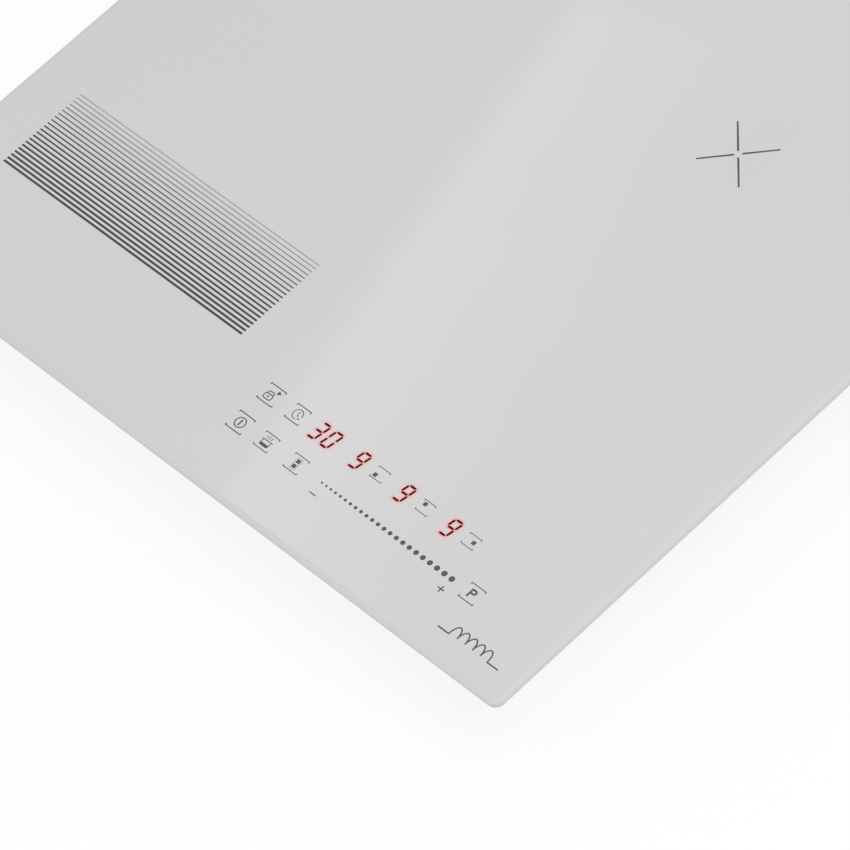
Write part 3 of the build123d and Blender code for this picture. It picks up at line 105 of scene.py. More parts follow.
class NodeSheet:
    """Node tree of a material or the world, with short ways to lay its nodes."""

    def __init__(self, owner: bpy.types.Material | bpy.types.World) -> None:
        """Empty the tree of its owner.

        Args:
            owner: Material or world that the nodes belong to.
        """
        owner.use_nodes = True
        self.of_world = isinstance(owner, bpy.types.World)
        self.tree = owner.node_tree
        self.tree.nodes.clear()

    @cached_property
    def place(self) -> Socket:
        """Object coordinates, from one node that all patterns share."""
        return self.add("TexCoord").outputs["Object"]

    def feed(self, socket: Socket, value: Value) -> None:
        """Give a socket a link, a number, a vector or a colour.

        Args:
            socket: Input socket.
            value: What goes in.
        """
        if isinstance(value, bpy.types.NodeSocket):
            self.tree.links.new(value, socket)
        else:
            socket.default_value = (*value, 1.0) if socket.type == "RGBA" else value

    def add(self, kind: str, inputs: Inputs | None = None, **settings: str) -> bpy.types.Node:
        """Add a node, set it and feed its inputs.

        Args:
            kind: Kind of shader node.
            inputs: What goes into its inputs, by their names or numbers.
            settings: Its settings.

        Returns:
            The node.
        """
        node = self.tree.nodes.new(f"ShaderNode{kind}")
        for name, value in settings.items():
            setattr(node, name, value)
        for name, value in (inputs or {}).items():
            self.feed(node.inputs[name], value)
        return node

    def end(self, shader: Socket) -> None:
        """Lead a shader to the output of the tree."""
        self.add("OutputWorld" if self.of_world else "OutputMaterial", {"Surface": shader})

    def glow(self, strength: Socket | float) -> Socket:
        """White light of a strength, as a shader."""
        kind = "Background" if self.of_world else "Emission"
        return self.add(kind, {"Color": WHITE, "Strength": strength}).outputs[0]

    def mix(self, amount: Socket | float, first: Socket, second: Socket) -> Socket:
        """Two shaders in one: the first at amount 0, the second at amount 1."""
        return self.add("MixShader", {"Fac": amount, 1: first, 2: second}).outputs["Shader"]

    def blend(self, amount: Socket, first: Socket | Colour, second: Socket | Colour) -> Socket:
        """Two colours in one: the first at amount 0, the second at amount 1."""
        return self.add("Mix", {0: amount, 6: first, 7: second}, data_type="RGBA").outputs[2]

    def combine(self, operation: Combine, first: Socket, second: Socket) -> Socket:
        """One value from two."""
        return self.add("Math", {0: first, 1: second}, operation=operation.value).outputs["Value"]

    def band(self, value: Socket, reach: Point, onto: Point) -> Socket:
        """Stretch of a value, mapped onto another and held within it."""
        ends = dict(zip(("From Min", "From Max", "To Min", "To Max"), (*reach, *onto)))
        return self.add("MapRange", {"Value": value, **ends}).outputs["Result"]


class Across(Enum):
    """Direction that stripes run across."""

    X = "X"
    DIAGONAL = "DIAGONAL"


class Pattern:
    """Pattern in object coordinates."""

    def value(self, sheet: NodeSheet) -> Socket:
        """Value of the pattern, which each kind lays in its own way."""
        raise NotImplementedError


@dataclass(frozen=True)
class Clouds(Pattern):
    """Noise about 0.5: features per metre, octaves, stretch along the axes, and turn in degrees."""

    scale: float
    detail: float
    stretch: Place | None = None
    turn: float = 0.0

    def value(self, sheet: NodeSheet) -> Socket:
        """Lay the noise.

        Args:
            sheet: Nodes of the material.

        Returns:
            Its value.
        """
        inputs = {"Vector": sheet.place, "Scale": self.scale, "Detail": self.detail}
        if self.stretch is not None:
            turn = (0.0, 0.0, math.radians(self.turn))
            mapping = sheet.add("Mapping", {"Vector": sheet.place, "Scale": self.stretch, "Rotation": turn})
            inputs["Vector"] = mapping.outputs["Vector"]
        return sheet.add("TexNoise", inputs).outputs["Fac"]


@dataclass(frozen=True)
class Cells(Pattern):
    """Distance from the middle of each cell: cells per metre."""

    scale: float

    def value(self, sheet: NodeSheet) -> Socket:
        """Value of the cells."""
        return sheet.add("TexVoronoi", {"Vector": sheet.place, "Scale": self.scale}).outputs["Distance"]


@dataclass(frozen=True)
class Pads(Cells):
    """Round pads in cells: 1 within a pad, falling to 0 over its edge."""

    edge: Point

    def value(self, sheet: NodeSheet) -> Socket:
        """Value of the pads."""
        return sheet.band(super().value(sheet), self.edge, (1.0, 0.0))


@dataclass(frozen=True)
class Facets(Pattern):
    """Chance value of each cell: cells per metre, and colour channel that the value is read from."""

    scale: float
    channel: str

    def value(self, sheet: NodeSheet) -> Socket:
        """Value of the facets."""
        cells = sheet.add("TexVoronoi", {"Vector": sheet.place, "Scale": self.scale})
        return sheet.add("SeparateColor", {"Color": cells.outputs["Color"]}).outputs[self.channel]


@dataclass(frozen=True)
class Stripes(Pattern):
    """Stripes from 0 to 1: scale per metre, direction, and distortion."""

    scale: float
    across: Across
    wobble: float = 0.0

    def value(self, sheet: NodeSheet) -> Socket:
        """Value of the stripes."""
        inputs = {"Vector": sheet.place, "Scale": self.scale, "Distortion": self.wobble}
        return sheet.add("TexWave", inputs, bands_direction=self.across.value).outputs["Fac"]


@dataclass(frozen=True)
class Tracks(Pattern):
    """Rows of fields with gaps: grey of each field, or the gaps alone, by the name of the output."""

    output: str
    scale: float = 55.0
    gap: float = 0.06
    greys: tuple[tuple[str, float], ...] = (("Color1", 1.0), ("Color2", 0.75), ("Mortar", 0.0))

    def value(self, sheet: NodeSheet) -> Socket:
        """Lay the tracks.

        Args:
            sheet: Nodes of the material.

        Returns:
            The output that is wanted.
        """
        inputs = {"Vector": sheet.place, "Scale": self.scale, "Mortar Size": self.gap}
        inputs |= {name: (grey, grey, grey) for name, grey in self.greys}
        return sheet.add("TexBrick", inputs).outputs[self.output]


@dataclass(frozen=True)
class Along(Pattern):
    """Object coordinate along X, Y or Z, in metres."""

    axis: str

    def value(self, sheet: NodeSheet) -> Socket:
        """Value of the coordinate."""
        return sheet.add("SeparateXYZ", {"Vector": sheet.place}).outputs[self.axis]


@dataclass(frozen=True)
class Veil:
    """Tone laid over another where a pattern is high, or where it is low if the veil falls.

    The tone is a factor of the finish's colour, or a colour of its own.
    """

    tone: float | Colour
    share: float = 1.0
    reach: Point = CORE
    falls: bool = False


@dataclass(frozen=True)
class Gloss:
    """Factors of the roughness where a pattern is low and where it is high."""

    low: float
    high: float
    reach: Point = CORE


@dataclass(frozen=True)
class Relief:
    """Bump of a pattern: strength, and depth in metres."""

    strength: float
    depth: float


@dataclass(frozen=True)
class Layer:
    """Pattern of a finish, and what it does to colour, roughness, normal and metal."""

    pattern: Pattern
    veil: Veil | None = None
    gloss: Gloss | None = None
    relief: Relief | None = None
    metal: float = 0.0


@dataclass(frozen=True)
class Finish:
    """Colour and roughness, with layers of patterns over a ground tone of that colour."""

    colour: Colour
    roughness: float = 0.5
    ground: ClassVar[float] = 1.0

    def layers(self) -> list[Layer]:
        """Layers from the lowest to the highest, which each kind of finish has of its own."""
        raise NotImplementedError

    def uniform(self) -> dict[str, float]:
        """Inputs of the shader that are the same all over."""
        return {}

    def shade(self, factor: float) -> Colour:
        """This colour, lighter or darker by a factor."""
        return tuple(min(1.0, channel * factor) for channel in self.colour)

    def cover(self, sheet: NodeSheet, tone: Socket | Colour, value: Socket, veil: Veil) -> Socket:
        """Lay a veil over a tone.

        Args:
            sheet: Nodes of the material.
            tone: Tone below.
            value: Value of the pattern.
            veil: What is laid over the tone.

        Returns:
            The covered tone.
        """
        ends = (veil.share, 0.0) if veil.falls else (0.0, veil.share)
        over = veil.tone if isinstance(veil.tone, tuple) else self.shade(veil.tone)
        return sheet.blend(sheet.band(value, veil.reach, ends), tone, over)

    def settle(self, sheet: NodeSheet, inputs: Inputs) -> None:
        """Change the shader's inputs after the layers, where a kind of finish needs it."""

    def make(self, name: str) -> bpy.types.Material:
        """Make the material from its layers.

        Args:
            name: Name of the material.

        Returns:
            The material with its nodes.
        """
        material = bpy.data.materials.new(name)
        sheet = NodeSheet(material)
        inputs = {"Base Color": self.shade(self.ground), **self.uniform()}
        for layer in self.layers():
            value = layer.pattern.value(sheet)
            if layer.veil is not None:
                inputs["Base Color"] = self.cover(sheet, inputs["Base Color"], value, layer.veil)
            if layer.gloss is not None:
                ends = (self.roughness * layer.gloss.low, self.roughness * layer.gloss.high)
                inputs["Roughness"] = sheet.band(value, layer.gloss.reach, ends)
            if layer.relief is not None:
                bump = {"Height": value, "Strength": layer.relief.strength, "Distance": layer.relief.depth}
                under = {"Normal": inputs["Normal"]} if "Normal" in inputs else {}
                inputs["Normal"] = sheet.add("Bump", {**bump, **under}).outputs["Normal"]
            if layer.metal > 0:
                inputs["Metallic"] = sheet.band(value, ALL, (0.0, layer.metal))
        self.settle(sheet, inputs)
        sheet.end(sheet.add("BsdfPrincipled", inputs).outputs["BSDF"])
        return material


@dataclass(frozen=True)
class GlassFinish(Finish):
    """Pale glass with an enamelled back: even and glossy, duller on its ground sides, which are painted
    lighter than the face to lift the shade that falls on them.
    """

    roughness: float = 0.045
    # Painted light: the ground sides are coloured lighter than the face, to lift the shade that falls on
    # them
    side_painted_light_colour: Colour = (0.76, 0.765, 0.762)
    side_levels: Point = (0.0568, 0.0572)
    side_roughness: float = 0.22
    index: float = 1.5
    ground: ClassVar[float] = 0.992

    def layers(self) -> list[Layer]:
        """Clouds, specks, smears and ripples."""
        return [
            Layer(Clouds(7.0, 3.0), Veil(1.008)),
            Layer(Clouds(1600.0, 2.0), Veil(0.5, 0.012, TIGHT)),
            Layer(Clouds(26.0, 6.0), gloss=Gloss(0.85, 1.25, (0.3, 0.75))),
            Layer(Clouds(38.0, 2.0), relief=Relief(0.03, 0.0004)),
        ]

    def uniform(self) -> dict[str, float]:
        """Index of refraction."""
        return {"IOR": self.index}

    def settle(self, sheet: NodeSheet, inputs: Inputs) -> None:
        """Tint the upper face, and set the ground sides apart from it: duller, and painted lighter to lift
        their shade.

        Args:
            sheet: Nodes of the material.
            inputs: Inputs of the shader, which are changed.
        """
        height = Along("Z").value(sheet)
        upper = sheet.band(height, self.side_levels, ALL)
        tone = self.tint(sheet, inputs["Base Color"])
        # Painted light on the sides: below the upper face the lighter side colour takes over
        inputs["Base Color"] = sheet.blend(upper, self.side_painted_light_colour, tone)
        dull = sheet.band(height, self.side_levels, (self.side_roughness, 0.0))
        inputs["Roughness"] = sheet.combine(Combine.ADD, inputs["Roughness"], dull)

    def tint(self, sheet: NodeSheet, tone: Socket) -> Socket:
        """Colour of the upper face, which plain glass leaves as it is."""
        return tone


@dataclass(frozen=True)
class HaloFinish(GlassFinish):
    """Glass round a lit digit, red as far as the light spreads by the piece's own attribute."""

    light: Colour = (0.88, 0.33, 0.33)

    def tint(self, sheet: NodeSheet, tone: Socket) -> Socket:
        """Colour of the upper face, reddened where light spreads."""
        spread = sheet.add("Attribute", attribute_name=SPREAD).outputs["Fac"]
        return sheet.blend(spread, tone, self.light)


@dataclass(frozen=True)
class MetalFinish(Finish):
    """Bare or plated metal: brush lines, crystal spangle and dull blotches."""

    roughness: float = 0.35
    brush: Place = (60.0, 1800.0, 60.0)
    spangle: float = 0.0
    spangle_scale: float = 140.0
    ground: ClassVar[float] = 0.9

    def layers(self) -> list[Layer]:
        """Blotches, brush lines, dents, and spangle where there is any.

        Returns:
            The layers.
        """
        lines = Clouds(1.0, 5.0, self.brush)
        layers = [
            Layer(Clouds(16.0, 5.0), Veil(1.06)),
            Layer(lines, Veil(0.72, 0.22), Gloss(0.8, 1.3, WIDE), Relief(0.12, 0.00005)),
            Layer(Clouds(45.0, 3.0), relief=Relief(0.06, 0.0003)),
        ]
        if self.spangle > 0:
            layers.append(Layer(Facets(self.spangle_scale, "Red"), Veil(0.62, self.spangle, ALL)))
        return layers

    def uniform(self) -> dict[str, float]:
        """Metal all over."""
        return {"Metallic": 1.0}


@dataclass(frozen=True)
class MouldedFinish(Finish):
    """Moulded plastic with a spark-eroded grain and faint flow clouds."""

    roughness: float = 0.5
    grain_scale: float = 1500.0
    grain_depth: float = 0.00006
    ground: ClassVar[float] = 0.88

    def layers(self) -> list[Layer]:
        """Flow clouds and grain."""
        flow, grain = Clouds(24.0, 5.0, (1.0, 2.5, 1.0), 20.0), Clouds(self.grain_scale, 3.0)
        return [
            Layer(flow, Veil(1.12), Gloss(0.85, 1.2, WIDE)),
            Layer(grain, Veil(1.35, 0.3, UPPER), relief=Relief(0.25, self.grain_depth)),
        ]


@dataclass(frozen=True)
class FoamFinish(Finish):
    """Foam, silicone or rubber: open pores with painted shade in them, or a fine bloom on a matte skin."""

    roughness: float = 0.85
    pore_scale: float = 900.0
    pore_depth: float = 0.0002
    ground: ClassVar[float] = 0.85

    def layers(self) -> list[Layer]:
        """Bloom, and pores darkened with painted shade."""
        # Painted shade: each pore darkens towards its middle, where its bump sinks deepest
        pore_shade = Veil(0.4, 0.6, (0.0, 0.45), falls=True)
        return [
            Layer(Clouds(60.0, 6.0), Veil(1.3, reach=(0.35, 0.7)), Gloss(0.85, 1.1)),
            Layer(Cells(self.pore_scale), pore_shade, relief=Relief(0.35, self.pore_depth)),
        ]


@dataclass(frozen=True)
class LaminateFinish(Finish):
    """Circuit board: lacquer over tracks, with scattered tinned pads."""

    roughness: float = 0.35
    track_colour: Colour = (0.09, 0.3, 0.13)
    pad_colour: Colour = (0.62, 0.6, 0.55)

    def layers(self) -> list[Layer]:
        """Tracks, weave, pads, edges of the tracks, and haze."""
        pads = Pads(160.0, (0.16, 0.19))
        return [
            Layer(Tracks("Color"), Veil(self.track_colour, reach=ALL)),
            Layer(Stripes(420.0, Across.DIAGONAL, 1.5), Veil(0.6, 0.2, (0.2, 0.8))),
            Layer(pads, Veil(self.pad_colour, reach=ALL), relief=Relief(0.4, 0.0002), metal=0.9),
            Layer(Tracks("Fac"), relief=Relief(0.2, 0.00005)),
            Layer(Clouds(90.0, 4.0), gloss=Gloss(0.8, 1.3)),
        ]


@dataclass(frozen=True)
class StrandFinish(Finish):
    """Wound wire: fine twisted strands under a thin lacquer, with painted shade in the grooves between them
    and painted light on their crests.
    """

    roughness: float = 0.35
    metallic: float = 1.0
    strand_scale: float = 700.0
    # Dark ground: painted shade in the grooves between strands
    ground: ClassVar[float] = 0.45

    def layers(self) -> list[Layer]:
        """Strands, with painted shade and painted light across each, and lacquer."""
        strands = Stripes(self.strand_scale, Across.DIAGONAL, 3.0)
        return [
            # Painted shade and light: darkest in the grooves, lighter on the crests that the bump raises
            Layer(strands, Veil(1.15, reach=ALL), relief=Relief(0.5, 0.0002)),
            Layer(Clouds(35.0, 5.0), Veil(0.7, 0.45, UPPER), Gloss(0.75, 1.35)),
        ]

    def uniform(self) -> dict[str, float]:
        """Share of metal."""
        return {"Metallic": self.metallic}


@dataclass(frozen=True)
class FlakeFinish(Finish):
    """Pressed mineral: flat flakes or sintered grains of uneven tone."""

    roughness: float = 0.6
    flake_scale: float = 420.0
    contrast: float = 0.35
    sheen: float = 0.0

    @property
    def ground(self) -> float:
        """Factor of the colour for the darkest flakes."""
        return 1.0 - self.contrast

    def layers(self) -> list[Layer]:
        """Flakes and stains.

        Returns:
            The layers.
        """
        flakes = Facets(self.flake_scale, "Green")
        pale = Veil(1.0 + self.contrast, reach=ALL)
        gloss = Gloss(1.0 - self.sheen, 1.0, ALL)
        return [
            Layer(flakes, pale, gloss, Relief(0.2, 0.0001)),
            Layer(Clouds(30.0, 6.0), Veil(0.75, 0.5, (0.4, 0.75))),
        ]


@dataclass(frozen=True)
class RibbonFinish(Finish):
    """Flat cable: pale film over parallel conductors."""

    roughness: float = 0.4
    conductor_colour: Colour = (0.42, 0.4, 0.38)

    def layers(self) -> list[Layer]:
        """Conductors and film."""
        return [
            Layer(Stripes(300.0, Across.X), Veil(self.conductor_colour), relief=Relief(0.4, 0.0003)),
            Layer(Clouds(60.0, 4.0), Veil(1.15, 0.3, UPPER), Gloss(0.8, 1.2)),
        ]


@dataclass(frozen=True)
class InkFinish(Finish):
    """Screen-printed ceramic ink with the mottle of the mesh, darker over the left zone."""

    roughness: float = 0.32
    specular: float = 0.25
    left_tone: float = 0.6
    left_edge: Point = (-0.015, 0.0)
    ground: ClassVar[float] = 0.88

    def layers(self) -> list[Layer]:
        """Mottle, drift and the darker left side."""
        mottle = Clouds(2600.0, 3.0)
        return [
            Layer(mottle, Veil(1.12, reach=TIGHT), Gloss(0.85, 1.2), Relief(0.15, 0.00001)),
            Layer(Clouds(40.0, 3.0), Veil(1.2, 0.25, TIGHT)),
            Layer(Along("X"), Veil(self.left_tone, reach=self.left_edge, falls=True)),
        ]

    def uniform(self) -> dict[str, float]:
        """Weak mirror."""
        return {"Specular IOR Level": self.specular}


@dataclass(frozen=True)
class LitFinish(Finish):
    """Lit segment under the glass: a red that wavers a little along each bar."""

    roughness: float = 0.08
    light: Colour = (0.6, 0.01, 0.012)
    strength: float = 0.5
    specular: float = 0.1
    dimmest: float = 0.8
    waver: Clouds = Clouds(700.0, 3.0)
    ground: ClassVar[float] = 0.85

    def layers(self) -> list[Layer]:
        """Wavering red."""
        return [Layer(self.waver, Veil(1.15), Gloss(0.8, 1.2))]

    def uniform(self) -> dict[str, float]:
        """Strength of the light, and a weak mirror."""
        return {"Emission Strength": self.strength, "Specular IOR Level": self.specular}

    def settle(self, sheet: NodeSheet, inputs: Inputs) -> None:
        """Let the light waver with the red.

        Args:
            sheet: Nodes of the material.
            inputs: Inputs of the shader, which are changed.
        """
        waver = sheet.band(self.waver.value(sheet), CORE, ALL)
        dim = tuple(channel * self.dimmest for channel in self.light)
        inputs["Emission Color"] = sheet.blend(waver, dim, self.light)


WHITE_GLASS: Colour = (0.602, 0.603, 0.602)
BRUSH_ALONG_Y: Place = (1800.0, 40.0, 1800.0)
BRUSH_ALONG_X: Place = (40.0, 1800.0, 1800.0)
FINISHES: dict[str, Finish] = {
    "white_glass": GlassFinish(WHITE_GLASS),
    "seal_foam": FoamFinish((0.05, 0.05, 0.052)),
    "bond_silicone": FoamFinish((0.12, 0.12, 0.12), 0.6, 500.0, 0.00005),
    "frame_aluminium": MetalFinish((0.72, 0.73, 0.74), 0.38, BRUSH_ALONG_Y),
    "tray_steel": MetalFinish((0.6, 0.61, 0.62), 0.42, (90.0, 500.0, 90.0), 0.35),
    "zinc_screws": MetalFinish((0.68, 0.68, 0.65), 0.32, (900.0, 900.0, 200.0)),
    "former_plastic": MouldedFinish((0.09, 0.09, 0.1)),
    "litz_copper": StrandFinish((0.72, 0.36, 0.2)),
    "ferrite": FlakeFinish((0.06, 0.06, 0.065), 0.55, 1500.0, 0.25),
    "mica": FlakeFinish((0.62, 0.58, 0.5), 0.6, 420.0, 0.2, 0.4),
    "sensor_body": MouldedFinish((0.75, 0.74, 0.7)),
    "bush_silicone": FoamFinish((0.45, 0.1, 0.07), 0.65, 400.0, 0.00004),
    "plate_aluminium": MetalFinish((0.75, 0.76, 0.77), 0.3, BRUSH_ALONG_X),
    "fan_plastic": MouldedFinish((0.03, 0.03, 0.032), 0.42),
    "board_laminate": LaminateFinish((0.05, 0.2, 0.09)),
    "heatsink_aluminium": MetalFinish((0.66, 0.67, 0.68), 0.4, BRUSH_ALONG_Y),
    "device_resin": MouldedFinish((0.025, 0.025, 0.027), 0.55, 2500.0),
    "capacitor_case": MouldedFinish((0.55, 0.42, 0.1), 0.28, 300.0, 0.00003),
    "choke_enamel": StrandFinish((0.1, 0.28, 0.14), 0.3, 0.0, 260.0),
    "nylon": MouldedFinish((0.78, 0.77, 0.72), 0.45),
    "control_plastic": MouldedFinish((0.06, 0.06, 0.065)),
    "pad_foam": FoamFinish((0.08, 0.08, 0.08)),
    "display_block": MouldedFinish((0.07, 0.02, 0.02), 0.2, 600.0, 0.00001),
    "ribbon_film": RibbonFinish((0.6, 0.6, 0.58)),
    "coil_sleeve": StrandFinish((0.7, 0.68, 0.62), 0.75, 0.0, 900.0),
    "mains_sleeve": MouldedFinish((0.18, 0.1, 0.06), 0.4, 500.0, 0.00003),
    "terminal_plastic": MouldedFinish((0.1, 0.1, 0.105)),
    "block_plastic": MouldedFinish((0.7, 0.68, 0.6), 0.45),
    "grommet_rubber": FoamFinish((0.03, 0.03, 0.03), 0.7, 600.0, 0.00003),
    "clamp_steel": MetalFinish((0.64, 0.64, 0.61), 0.3, (300.0, 900.0, 300.0), 0.15, 500.0),
    "print_ink": InkFinish((0.085, 0.085, 0.088)),
    "digit_light": LitFinish((0.045, 0.002, 0.003), 0.08, (0.5, 0.004, 0.006), 0.05, 0.04),
    "digit_glow": HaloFinish(WHITE_GLASS),
}


class Paint:
    """Materials of the cooktop, made once for each slot."""

    def __init__(self) -> None:
        """Start with no material made."""
        self.made: dict[str, bpy.types.Material] = {}

    def of(self, slot: str) -> bpy.types.Material:
        """Find the material of a slot, or make it when it is first asked for.

        Args:
            slot: Name of the material slot.

        Returns:
            The material.
        """
        if slot not in self.made:
            self.made[slot] = FINISHES[slot].make(slot)
        return self.made[slot]

    def dress(self, piece: Shape, slot: str) -> None:
        """Give a piece the finish of a slot alone."""
        piece.data.materials.clear()
        piece.data.materials.append(self.of(slot))

    def dress_frame(self) -> int:
        """Give every CAD node the finish of its slot.

        Returns:
            Number of nodes dressed.
        """
        for part in frame["record"]["subparts"]:
            self.dress(frame["nodes"][part["node"]], part["material_slot"])
            LOG.info("dressed %s in %s", part["node"], part["material_slot"])
        return len(frame["record"]["subparts"])


class Pick(Enum):
    """What is selected in edit mode."""

    EDGE = "EDGE"
    FACE = "FACE"


class Cut(Enum):
    """Line that a flat shape is cut along, as the direction square to it."""

    UPRIGHT = (1.0, 0.0)
    LEVEL = (0.0, 1.0)


def anywhere(place: Vector) -> bool:
    """Pass every place."""
    return True


class Bench:
    """Edit-mode tools for shapes in millimetres, most of them flat."""

    @staticmethod
    def clear() -> None:
        """Leave edit mode and deselect everything."""
        if bpy.context.mode != "OBJECT":
            bpy.ops.object.mode_set(mode="OBJECT")
        bpy.ops.object.select_all(action="DESELECT")

    @staticmethod
    def select(shape: Shape) -> None:
        """Select one shape alone and make it active.

        Args:
            shape: Shape to select.
        """
        Bench.clear()
        shape.select_set(True)
        bpy.context.view_layer.objects.active = shape

    @staticmethod
    @contextmanager
    def editing(shape: Shape) -> Iterator[None]:
        """Hold edit mode on one shape, with all of it selected.

        Args:
            shape: Shape to edit.

        Returns:
            Nothing while the shape is in edit mode.
        """
        Bench.select(shape)
        bpy.ops.object.mode_set(mode="EDIT")
        bpy.ops.mesh.select_mode(type="FACE")
        bpy.ops.mesh.select_all(action="SELECT")
        yield
        bpy.ops.object.mode_set(mode="OBJECT")

    @staticmethod
    def pick(shape: Shape, kind: Pick, test: Test) -> None:
        """Select the edges or faces whose middle passes a test, in edit mode.

        Args:
            shape: Shape in edit mode.
            kind: What is selected.
            test: Test of the middle of each.
        """
        bpy.ops.mesh.select_mode(type=kind.value)
        bpy.ops.mesh.select_all(action="DESELECT")
        mesh = bmesh.from_edit_mesh(shape.data)
        if kind is Pick.FACE:
            for face in mesh.faces:
                face.select_set(test(face.calc_center_median()))
        else:
            for edge in mesh.edges:
                edge.select_set(test((edge.verts[0].co + edge.verts[1].co) / 2))
        bmesh.update_edit_mesh(shape.data)

    @staticmethod
    def plate(width: float, height: float, centre: Point, turn: float = 0.0) -> Shape:
        """Flat rectangle.

        Args:
            width: Size along X.
            height: Size along Y.
            centre: Its middle.
            turn: Turn about its middle, in degrees.

        Returns:
            The shape.
        """
        Bench.clear()
        bpy.ops.mesh.primitive_plane_add(
            size=1.0, location=(*centre, 0.0), rotation=(0.0, 0.0, math.radians(turn)))
        shape = bpy.context.active_object
        shape.scale = (width, height, 1.0)
        bpy.ops.object.transform_apply(location=True, rotation=True, scale=True)
        return shape

    @staticmethod
    def stroke(start: Point, end: Point, width: float) -> Shape:
        """Straight line of a width from one point to another.

        Args:
            start: First point.
            end: Last point.
            width: Width of the line.

        Returns:
            The shape.
        """
        run = Vector(end) - Vector(start)
        middle = (Vector(start) + Vector(end)) / 2
        return Bench.plate(run.length, width, tuple(middle), math.degrees(math.atan2(run.y, run.x)))

    @staticmethod
    def disc(radius: float, centre: Point, sides: int) -> Shape:
        """Flat disc.

        Args:
            radius: Radius of the disc.
            centre: Its middle.
            sides: Number of sides.

        Returns:
            The shape.
        """
        Bench.clear()
        bpy.ops.mesh.primitive_circle_add(
            vertices=sides, radius=radius, fill_type="NGON", location=(*centre, 0.0))
        bpy.ops.object.transform_apply(location=True, rotation=True, scale=True)
        return bpy.context.active_object

    @staticmethod
    def hollow(shape: Shape, line: float) -> Shape:
        """Leave only a line along the outline of a flat shape.

        Args:
            shape: Flat shape.
            line: Width of the line.

        Returns:
            The shape.
        """
        with Bench.editing(shape):
            bpy.ops.mesh.inset(thickness=line, use_even_offset=True)
            bpy.ops.mesh.delete(type="FACE")
        return shape

    @staticmethod
    def round_corners(shape: Shape, radius: float, steps: int, test: Test = anywhere) -> Shape:
        """Round the corners of a flat shape that pass a test.

        Args:
            shape: Flat shape.
            radius: Radius of the corners.
            steps: Segments of each corner.
            test: Test of a corner's place.

        Returns:
            The shape.
        """
        with Bench.editing(shape):
            bpy.ops.mesh.select_mode(type="VERT")
            bpy.ops.mesh.select_all(action="DESELECT")
            mesh = bmesh.from_edit_mesh(shape.data)
            for vert in mesh.verts:
                vert.select_set(test(vert.co))
            bmesh.update_edit_mesh(shape.data)
            bpy.ops.mesh.bevel(offset=radius, segments=steps, affect="VERTICES")
        return shape

    @staticmethod
    def cut(shape: Shape, point: Point, line: Cut) -> Shape:
        """Cut the faces of a flat shape along a line.

        Args:
            shape: Flat shape.
            point: Point of the line.
            line: How the line runs.

        Returns:
            The shape.
        """
        with Bench.editing(shape):
            bpy.ops.mesh.bisect(plane_co=(*point, 0.0), plane_no=(*line.value, 0.0), threshold=CUT_NEAR)
        return shape

    @staticmethod
    def drop(shape: Shape, test: Test) -> Shape:
        """Delete the faces whose middle passes a test.

        Args:
            shape: Flat shape.
            test: Test of the middle of each face.

        Returns:
            The shape.
        """
        with Bench.editing(shape):
            Bench.pick(shape, Pick.FACE, test)
            bpy.ops.mesh.delete(type="FACE")
        return shape

    @staticmethod
    def copy(shape: Shape) -> Shape:
        """Copy a shape with its own mesh.

        Args:
            shape: Shape to copy.

        Returns:
            The copy.
        """
        twin = shape.copy()
        twin.data = shape.data.copy()
        bpy.context.collection.objects.link(twin)
        return twin

    @staticmethod
    def remove(shape: Shape) -> None:
        """Delete a shape that is no longer needed."""
        bpy.data.objects.remove(shape)

    @staticmethod
    def copies(pattern: Shape, moves: Iterable[Matrix]) -> list[Shape]:
        """Copy a pattern by several moves and delete the pattern.

        Args:
            pattern: Shape that is modelled once.
            moves: Move of each copy.

        Returns:
            The copies, each with its own mesh.
        """
        shapes = []
        for move in moves:
            shapes.append(Bench.copy(pattern))
            shapes[-1].data.transform(move)
        Bench.remove(pattern)
        return shapes

    @staticmethod
    def gather(shapes: list[Shape], name: str) -> Shape:
        """Join shapes to one piece.

        Args:
            shapes: Shapes to join.
            name: Name of the piece.

        Returns:
            The piece, still in millimetres.
        """
        Bench.clear()
        for shape in shapes:
            shape.select_set(True)
        bpy.context.view_layer.objects.active = shapes[0]
        if len(shapes) > 1:
            bpy.ops.object.join()
        piece = bpy.context.active_object
        piece.name = name
        piece.data.name = name
        return piece

    @staticmethod
    def carve(shape: Shape, cutter: Shape) -> None:
        """Cut one solid shape out of another and delete the cutter.

        Args:
            shape: Shape that is cut.
            cutter: Shape that is taken out of it.
        """
        Bench.select(shape)
        cut = shape.modifiers.new("recess", "BOOLEAN")
        cut.operation = "DIFFERENCE"
        cut.object = cutter
        bpy.ops.object.modifier_apply(modifier=cut.name)
        Bench.remove(cutter)

    @staticmethod
    def press(shapes: list[Shape], name: str, rise: float, weld: bool = False) -> Shape:
        """Join flat shapes, thicken them upwards and break their edges.

        Args:
            shapes: Flat shapes.
            name: Name of the piece.
            rise: Thickness.
            weld: Whether shapes that meet end to end are merged there.

        Returns:
            The joined piece, still in millimetres.
        """
        piece = Bench.gather(shapes, name)
        if weld:
            with Bench.editing(piece):
                bpy.ops.mesh.remove_doubles(threshold=WELD_NEAR)
        solid = piece.modifiers.new("thickness", "SOLIDIFY")
        solid.thickness = rise
        solid.offset = 1.0
        bpy.ops.object.modifier_apply(modifier=solid.name)
        edge = piece.modifiers.new("edge", "BEVEL")
        edge.width = rise * EDGE_SHARE
        edge.segments = 1
        edge.limit_method = "ANGLE"
        edge.angle_limit = math.radians(EDGE_ANGLE)
        bpy.ops.object.modifier_apply(modifier=edge.name)
        return piece


class Facing(Enum):
    """Way that a screw head looks, as degrees of turn about X and Y from upright."""

    RIGHT = (0.0, 90.0)
    LEFT = (0.0, -90.0)
    REAR = (-90.0, 0.0)
    FRONT = (90.0, 0.0)
    DOWN = (180.0, 0.0)

    def turn(self) -> Matrix:
        """Turn of an upright screw to this way."""
        about_x, about_y = (math.radians(angle) for angle in self.value)
        return Matrix.Rotation(about_x, 4, "X") @ Matrix.Rotation(about_y, 4, "Y")


